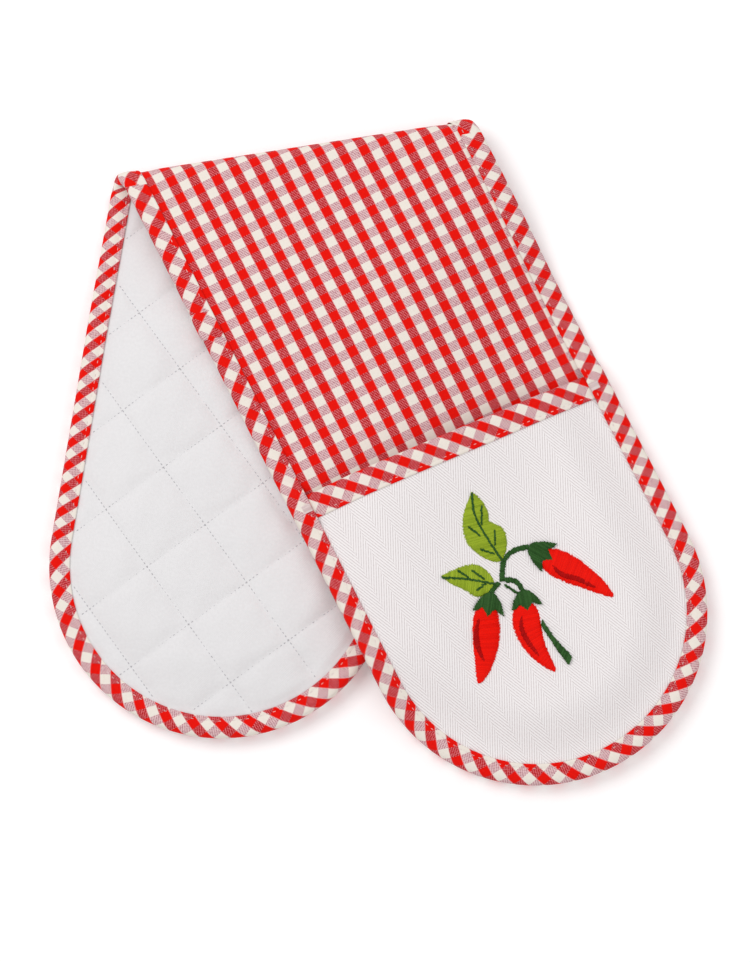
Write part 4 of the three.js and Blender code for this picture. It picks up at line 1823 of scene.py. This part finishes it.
@dataclass
class Embroidery:
    """The sprig of chilies on the upper pocket, in satin stitch."""

    pitch: float = 0.55
    pile: float = 0.00125
    drop: float = 0.0075
    seed: int = 11

    def __post_init__(self) -> None:
        """Starts the stitcher's small unevenness from a fixed seed."""
        self.rng = np.random.default_rng(self.seed)

    def along_curve(self, line: Array, widths: Callable[[Array], Array], lean: float = 0.0) -> Array:
        """Lists stitches that run across a curve.

        Args:
            line: the shape's middle line in millimetres.
            widths: half-width in millimetres at each share of the length.
            lean: how far a stitch leans along the curve, in millimetres.

        Returns:
            Stitches by two ends by two.
        """
        length = float(np.linalg.norm(np.diff(line, axis=0), axis=1).sum())
        count = max(int(length / self.pitch), 4)
        share = np.linspace(0.0, 1.0, len(line))
        at = np.linspace(0.006, 0.994, count)
        middle = np.stack([np.interp(at, share, line[:, k]) for k in range(2)], axis=1)
        across = sides_of(middle)
        along = np.stack([across[:, 1], -across[:, 0]], axis=1)
        rough = self.rng.normal(0.0, 0.16, (count, 2))
        reach = widths(at)
        a = middle - across * (reach + rough[:, 0])[:, None] - along * lean / 2.0
        b = middle + across * (reach + rough[:, 1])[:, None] + along * lean / 2.0
        return np.stack([a, b], axis=1)

    def fill(self, outline: Array, direction: float) -> Array:
        """Lists parallel stitches that fill an outline.

        Args:
            outline: corners in millimetres.
            direction: the stitches' direction in degrees.

        Returns:
            Stitches by two ends by two.
        """
        turn = math.radians(direction)
        x_axis = np.array([math.cos(turn), math.sin(turn)])
        y_axis = np.array([-x_axis[1], x_axis[0]])
        local = np.stack([outline @ x_axis, outline @ y_axis], axis=1)
        following = np.roll(local, -1, axis=0)
        found = []
        for level in np.arange(local[:, 1].min() + 0.2, local[:, 1].max(), self.pitch):
            crosses = (local[:, 1] - level) * (following[:, 1] - level) < 0.0
            share = (level - local[crosses, 1]) / (following[crosses, 1] - local[crosses, 1])
            hits = np.sort(lerp(local[crosses, 0], following[crosses, 0], share))
            for low, high in zip(hits[::2], hits[1::2]):
                rough = self.rng.normal(0.0, 0.15, 2)
                if high - low > 0.3:
                    found.append(
                        [
                            (low - rough[0]) * x_axis + level * y_axis,
                            (high + rough[1]) * x_axis + level * y_axis,
                        ]
                    )
        return np.array(found)

    def raise_stitches(self, name: str, stitches: Array, pile: float, base: float = 0.0) -> Object:
        """Makes satin stitches as raised strands on the pocket's face.

        Args:
            name: the piece's name.
            stitches: stitches by two ends by two, in millimetres right of and below the mouth's middle.
            pile: height of the middle of a long stitch.
            base: distance from the face to where the stitch starts.

        Returns:
            The piece.
        """
        share = np.array([0.0, 0.07, 0.25, 0.5, 0.75, 0.93, 1.0])
        points = stitches[:, :1] + (stitches[:, 1:] - stitches[:, :1]) * share[None, :, None]
        across = points[..., 0] * MM
        along = SHAPE.mouth(Side.UPPER, 0.0) + self.drop + points[..., 1] * MM
        face, out = thread_frames(along, across, lambda a, v: SHAPE.pocket_face(Side.UPPER, a, v))
        length = np.linalg.norm(stitches[:, 1] - stitches[:, 0], axis=1) * MM
        height = pile * np.clip(length / 0.006, 0.45, 1.0)
        arch = np.array([-0.1, 0.45, 0.85, 1.0, 0.85, 0.45, -0.1])
        uneven = self.rng.normal(0.0, 0.00004, len(stitches))
        lift = base + height[:, None] * arch[None, :] + uneven[:, None]
        centres = face + out * lift[..., None]
        run = centres[:, -1:] - centres[:, :1]
        run = run / (np.linalg.norm(run, axis=2, keepdims=True) + TINY)
        sides = np.cross(np.broadcast_to(run, centres.shape), out)
        sides /= np.linalg.norm(sides, axis=2, keepdims=True) + TINY
        taper = np.array([0.55, 0.95, 1.0, 1.0, 1.0, 0.95, 0.55])
        width = np.broadcast_to(0.00036 * taper, centres.shape[:2])
        tall = np.broadcast_to(0.00034 * taper, centres.shape[:2])
        return strands(name, centres, sides, out, width, tall)

    def finish(self, obj: Object, wardrobe: Wardrobe, key: str, node: Optional[str] = None) -> None:
        """Dresses a piece of embroidery and fixes it to the pocket.

        Args:
            obj: the piece.
            wardrobe: the materials.
            key: the finish's short name.
            node: the CAD node that it stands for.
        """
        wardrobe.dress(obj, key)
        if node is not None:
            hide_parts(node)
        Motion("upper_pocket").apply(obj)

    def build(self, wardrobe: Wardrobe) -> None:
        """Makes the whole sprig.

        Args:
            wardrobe: the materials.
        """
        self.build_chilies(wardrobe)
        self.build_leaves(wardrobe)
        self.build_stems(wardrobe)

    def build_chilies(self, wardrobe: Wardrobe) -> None:
        """Makes the three chilies, their dark shade and their caps.

        Args:
            wardrobe: the materials.
        """
        chilies = {
            "left": (
                ((-22.6, 80.7), (-31.5, 103.0), (-42.9, 114.2)),
                ((-28.9, 85.1), (-33.6, 91.4), (-35.6, 98.6), (-35.9, 105.0)),
                ((-16.7, 75.4), (-24.3, 86.2)),
            ),
            "middle": (
                ((-3.5, 89.1), (-12.8, 105.4), (-5.2, 126.1)),
                ((-8.2, 93.7), (-10.9, 99.3), (-10.9, 106.4), (-9.4, 115.4)),
                ((-1.2, 81.8), (-4.1, 92.9)),
            ),
            "right": (
                ((16.1, 72.1), (29.6, 87.0), (38.9, 105.6)),
                ((18.2, 77.9), (20.7, 84.2), (26.6, 89.6), (32.6, 97.6)),
                ((11.7, 63.0), (20.1, 75.6)),
            ),
        }
        places = [0.0, 0.04, 0.12, 0.25, 0.45, 0.6, 0.78, 0.9, 1.0]
        reaches = [4.2, 5.8, 6.9, 7.4, 6.8, 5.6, 4.0, 2.6, 0.9]
        t = np.linspace(0.0, 1.0, 80)[:, None]
        for word, (bend, shaded, (root, tooth)) in chilies.items():
            head, knee, tip = (np.array(p) for p in bend)
            line = (1 - t) ** 2 * head + 2 * t * (1 - t) * knee + t**2 * tip
            across = self.along_curve(line, lambda at: np.interp(at, places, reaches), 1.2)
            body = self.raise_stitches(f"chili_{word}_satin", across, self.pile)
            self.finish(body, wardrobe, "chili", f"chili_{word}")
            thin = self.along_curve(curve(shaded), lambda at: 1.1 * np.sin(math.pi * at) ** 0.7 + 0.3, 1.0)
            shade = self.raise_stitches(f"chili_{word}_shade", thin, 0.0003, base=self.pile * 0.93)
            self.finish(shade, wardrobe, "chili_dark")
            self.build_cap(wardrobe, word, np.array(root), np.array(tooth))

    def build_cap(self, wardrobe: Wardrobe, word: str, root: Array, tooth: Array) -> None:
        """Makes the green cap on a chili's head.

        Args:
            wardrobe: the materials.
            word: which chili.
            root: where the stem meets it, in millimetres.
            tooth: the tip of its middle tooth.
        """
        axis = tooth - root
        length = float(np.linalg.norm(axis))
        axis = axis / length
        beside = np.array([-axis[1], axis[0]])
        shape = [
            (0.0, -1.2), (0.12, -3.4), (0.4, -6.2), (0.84, -8.4), (0.76, -5.2), (0.64, -3.6),
            (0.8, -1.8), (1.0, 0.0), (0.8, 1.8), (0.64, 3.6), (0.76, 5.2), (0.84, 8.4), (0.4, 6.2),
            (0.12, 3.4), (0.0, 1.2),
        ]
        outline = np.array([root + axis * length * along + beside * across for along, across in shape])
        direction = math.degrees(math.atan2(axis[1], axis[0]))
        stitches = self.fill(outline, direction)
        cap = self.raise_stitches(f"calyx_{word}_satin", stitches, 0.0006, base=0.0011)
        self.finish(cap, wardrobe, "stem", f"calyx_{word}")

    def build_leaves(self, wardrobe: Wardrobe) -> None:
        """Makes the two leaves and their veins.

        Args:
            wardrobe: the materials.
        """
        upper = [
            (-2.1, 25.3), (-9.9, 32.1), (-14.2, 38.5), (-16.2, 46.8), (-14.4, 53.6), (-10.0, 60.4),
            (-4.5, 63.5), (0.0, 60.5), (3.6, 54.8), (4.2, 49.2), (1.0, 44.3), (-0.6, 42.4), (1.1, 38.3),
            (1.0, 32.4), (-0.6, 27.5),
        ]
        side = [
            (-35.9, 56.6), (-26.7, 56.7), (-18.3, 58.4), (-14.0, 63.1), (-12.5, 69.1), (-13.1, 71.8),
            (-14.7, 74.1), (-19.9, 75.6), (-24.9, 74.0), (-27.9, 69.2), (-33.5, 61.8),
        ]
        veins = {
            "leaf_upper": (
                [(-2.5, 25.5), (-6.0, 35.9), (-6.0, 47.6), (-3.9, 64.4)],
                [(-0.9, 33.9), (-5.1, 42.2)],
                [(-0.4, 48.1), (-3.7, 54.6)],
                [(-11.8, 40.6), (-8.6, 46.9)],
                [(-11.4, 53.6), (-6.3, 58.5)],
            ),
            "leaf_side": (
                [(-36.1, 57.6), (-25.6, 63.4), (-12.8, 72.7)],
                [(-27.0, 58.1), (-23.5, 63.9)],
                [(-20.5, 61.3), (-16.8, 67.8)],
                [(-22.6, 71.3), (-17.5, 70.4)],
            ),
        }
        for name, outline, direction in (("leaf_upper", upper, 12.0), ("leaf_side", side, -58.0)):
            closed = curve(outline + outline[:1], 90)[:-1]
            leaf = self.raise_stitches(f"{name}_satin", self.fill(closed, direction), 0.0008)
            self.finish(leaf, wardrobe, "leaf", name)
            lines = []
            for i, vein in enumerate(veins[name]):
                size = 0.55 if i == 0 else 0.42
                lines.append(self.along_curve(curve(vein), lambda at, w=size: w + 0 * at, 1.0))
            vein_obj = self.raise_stitches(f"{name}_veins", np.concatenate(lines), 0.0004, base=0.00085)
            self.finish(vein_obj, wardrobe, "stem")

    def build_stems(self, wardrobe: Wardrobe) -> None:
        """Makes the four stems, the thin twig beside the middle one and the main stem's widened end.

        Args:
            wardrobe: the materials.
        """
        stems = {
            "stem_right": [(-8.8, 73.0), (-3.5, 64.6), (3.7, 61.8), (11.7, 63.4)],
            "stem_middle": [(-7.2, 73.2), (-4.0, 74.8), (-1.9, 77.6), (-1.4, 82.5)],
            "stem_left": [(-10.7, 73.2), (-14.2, 74.4), (-16.5, 75.5)],
            "stem_main": [(-0.2, 101.2), (1.2, 113.0), (3.9, 125.4)],
        }
        widths = {
            "stem_right": lambda at: 1.35 + 0.1 * np.sin(at * 9.0),
            "stem_middle": lambda at: 1.35 + 0.1 * np.sin(at * 7.0),
            "stem_left": lambda at: 1.3 + 0.0 * at,
            "stem_main": lambda at: 1.15 + 0.9 * smooth((at - 0.3) / 0.6),
        }
        for i, (name, points) in enumerate(stems.items()):
            lean = 2.2 if name == "stem_main" else 0.6
            stitches = self.along_curve(curve(points), widths[name], lean)
            if name == "stem_middle":
                twig = curve([(-8.4, 75.5), (-4.0, 83.0)])
                stitches = np.concatenate([stitches, self.along_curve(twig, lambda at: 0.6 + 0.0 * at, 1.0)])
            stem = self.raise_stitches(f"{name}_satin", stitches, 0.0012, base=0.0002 * i)
            self.finish(stem, wardrobe, "stem", name)


# ---------------------------------------------------------------- tacks and studio


@dataclass
class BarTacks:
    """The close bars of white stitches that hold the mouth's corners."""

    length: float = 0.0042
    width: float = 0.0060

    def build(self, wardrobe: Wardrobe) -> None:
        """Makes both bars.

        Args:
            wardrobe: the materials.
        """
        for word, sign in (("left", -1.0), ("right", 1.0)):
            low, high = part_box(f"bar_tack_{word}")
            centre = (low + high) / 2.0
            local = self.locate(centre)
            local = (local[0] + 0.004, local[1] - sign * 0.001)
            count = 8
            shift = (np.arange(count) - (count - 1) / 2.0) * self.length / count
            share = np.array([-0.5, -0.4, -0.2, 0.2, 0.4, 0.5])
            along = local[0] + shift[:, None] + 0.0002 * share[None, :]
            across = local[1] + self.width * share[None, :] + 0.0 * shift[:, None]
            side_height = SHAPE.seam_height(Side.UPPER, along, across)
            top = np.maximum(side_height + 0.0013, SHAPE.pocket_face(Side.UPPER, along, across) + 0.0010)
            arch = np.array([-0.0008, 0.0, 0.0003, 0.0003, 0.0, -0.0008])
            centres = SHAPE.place(along, across, top + arch[None, :])
            ups = np.broadcast_to(np.array([0.0, 0.0, 1.0]), centres.shape)
            run = np.gradient(centres, axis=1)
            sides = np.cross(run, ups)
            sides /= np.linalg.norm(sides, axis=2, keepdims=True) + TINY
            size = np.broadcast_to(np.array([0.6, 1.0, 1.0, 1.0, 1.0, 0.6]) * 0.0003, centres.shape[:2])
            obj = strands(f"bar_tack_{word}_stitches", centres, sides, ups, size, size)
            wardrobe.dress(obj, "thread")
            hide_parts(f"bar_tack_{word}")
            Motion("upper_half").apply(obj)

    @staticmethod
    def locate(point: Vector) -> Tuple[float, float]:
        """Finds the strip coordinates of a point of the upper half.

        Args:
            point: a point in the row frame.

        Returns:
            Along and across.
        """
        origin = SHAPE.origin
        c, s = math.cos(SHAPE.fold_slant), math.sin(SHAPE.fold_slant)
        sideways = point.x - origin.x
        from_crest = SHAPE.arc - (point.y - origin.y)
        return from_crest * c + sideways * s, sideways * c - from_crest * s


@dataclass
class Studio:
    """A pale table top, soft lights and the camera."""

    azimuth: float = math.radians(-9.0)
    elevation: float = math.radians(85.0)
    target: Tuple[float, float, float] = (0.0071, -0.0066, 0.015)
    distance: float = 1.348
    lens: float = 97.0

    def build(self) -> None:
        """Makes the table, the lights and the camera."""
        self.build_table()
        self.build_lights()
        self.build_camera()

    def build_table(self) -> None:
        """Makes the white table top."""
        bpy.ops.mesh.primitive_plane_add(size=6.0, location=(0.0, 0.0, -0.0002))
        table = bpy.context.object
        table.name = "table_top"
        # matt white laminate: no reflections, only soft contact shadows
        material = bpy.data.materials.new("white_table_laminate")
        material.use_nodes = True
        tree = material.node_tree
        shader = tree.nodes["Principled BSDF"]
        spot = add_node(tree, "ShaderNodeTexCoord", {}, output=3)
        noise = add_node(tree, "ShaderNodeTexNoise", {"Vector": spot, "Scale": 3.0})
        tree.links.new(mix(tree, noise, linear("ffffff"), linear("fcfcfc")), shader.inputs["Base Color"])
        shader.inputs["Roughness"].default_value = 0.9
        shader.inputs["Emission Color"].default_value = (1.0, 1.0, 1.0, 1.0)
        shader.inputs["Emission Strength"].default_value = 0.10
        table.data.materials.append(material)

    def build_lights(self) -> None:
        """Makes the soft lights."""
        world = bpy.data.worlds.new("studio")
        bpy.context.scene.world = world
        world.use_nodes = True
        background = world.node_tree.nodes["Background"]
        background.inputs[0].default_value = (1.0, 1.0, 1.0, 1.0)
        background.inputs[1].default_value = 0.60
        for name, place, size, power in (
            ("key_light", (-0.7, 0.7, 1.5), 0.9, 13.0),
            ("fill_light", (0.9, -0.5, 1.6), 1.2, 5.0),
        ):
            data = bpy.data.lights.new(name, "AREA")
            data.size = size
            data.energy = power
            light = bpy.data.objects.new(name, data)
            bpy.context.scene.collection.objects.link(light)
            light.location = place
            light.rotation_mode = "QUATERNION"
            light.rotation_quaternion = (-Vector(place)).to_track_quat("-Z", "Y")

    def build_camera(self) -> None:
        """Makes the camera."""
        back = Vector(
            (
                math.sin(self.azimuth) * math.cos(self.elevation),
                -math.cos(self.azimuth) * math.cos(self.elevation),
                math.sin(self.elevation),
            )
        )
        data = bpy.data.cameras.new("camera")
        data.lens = self.lens
        data.sensor_width = 36.0
        camera = bpy.data.objects.new("camera", data)
        bpy.context.scene.collection.objects.link(camera)
        camera.location = Vector(self.target) + back * self.distance
        camera.rotation_mode = "QUATERNION"
        camera.rotation_quaternion = (-back).to_track_quat("-Z", "Y")
        bpy.context.scene.camera = camera
        bpy.context.scene.view_settings.view_transform = "Standard"


def main() -> None:
    """Builds the glove in the order that a maker would sew it."""
    logging.basicConfig(level=logging.INFO)
    wardrobe = Wardrobe()
    linings = QuiltedLining().build(wardrobe)
    StripPanel().build(wardrobe, linings)
    for side in Side:
        Pocket(side).build(wardrobe)
    EdgeBinding().build(wardrobe)
    Embroidery().build(wardrobe)
    BarTacks().build(wardrobe)
    Studio().build()


if __name__ == "__main__":
    main()
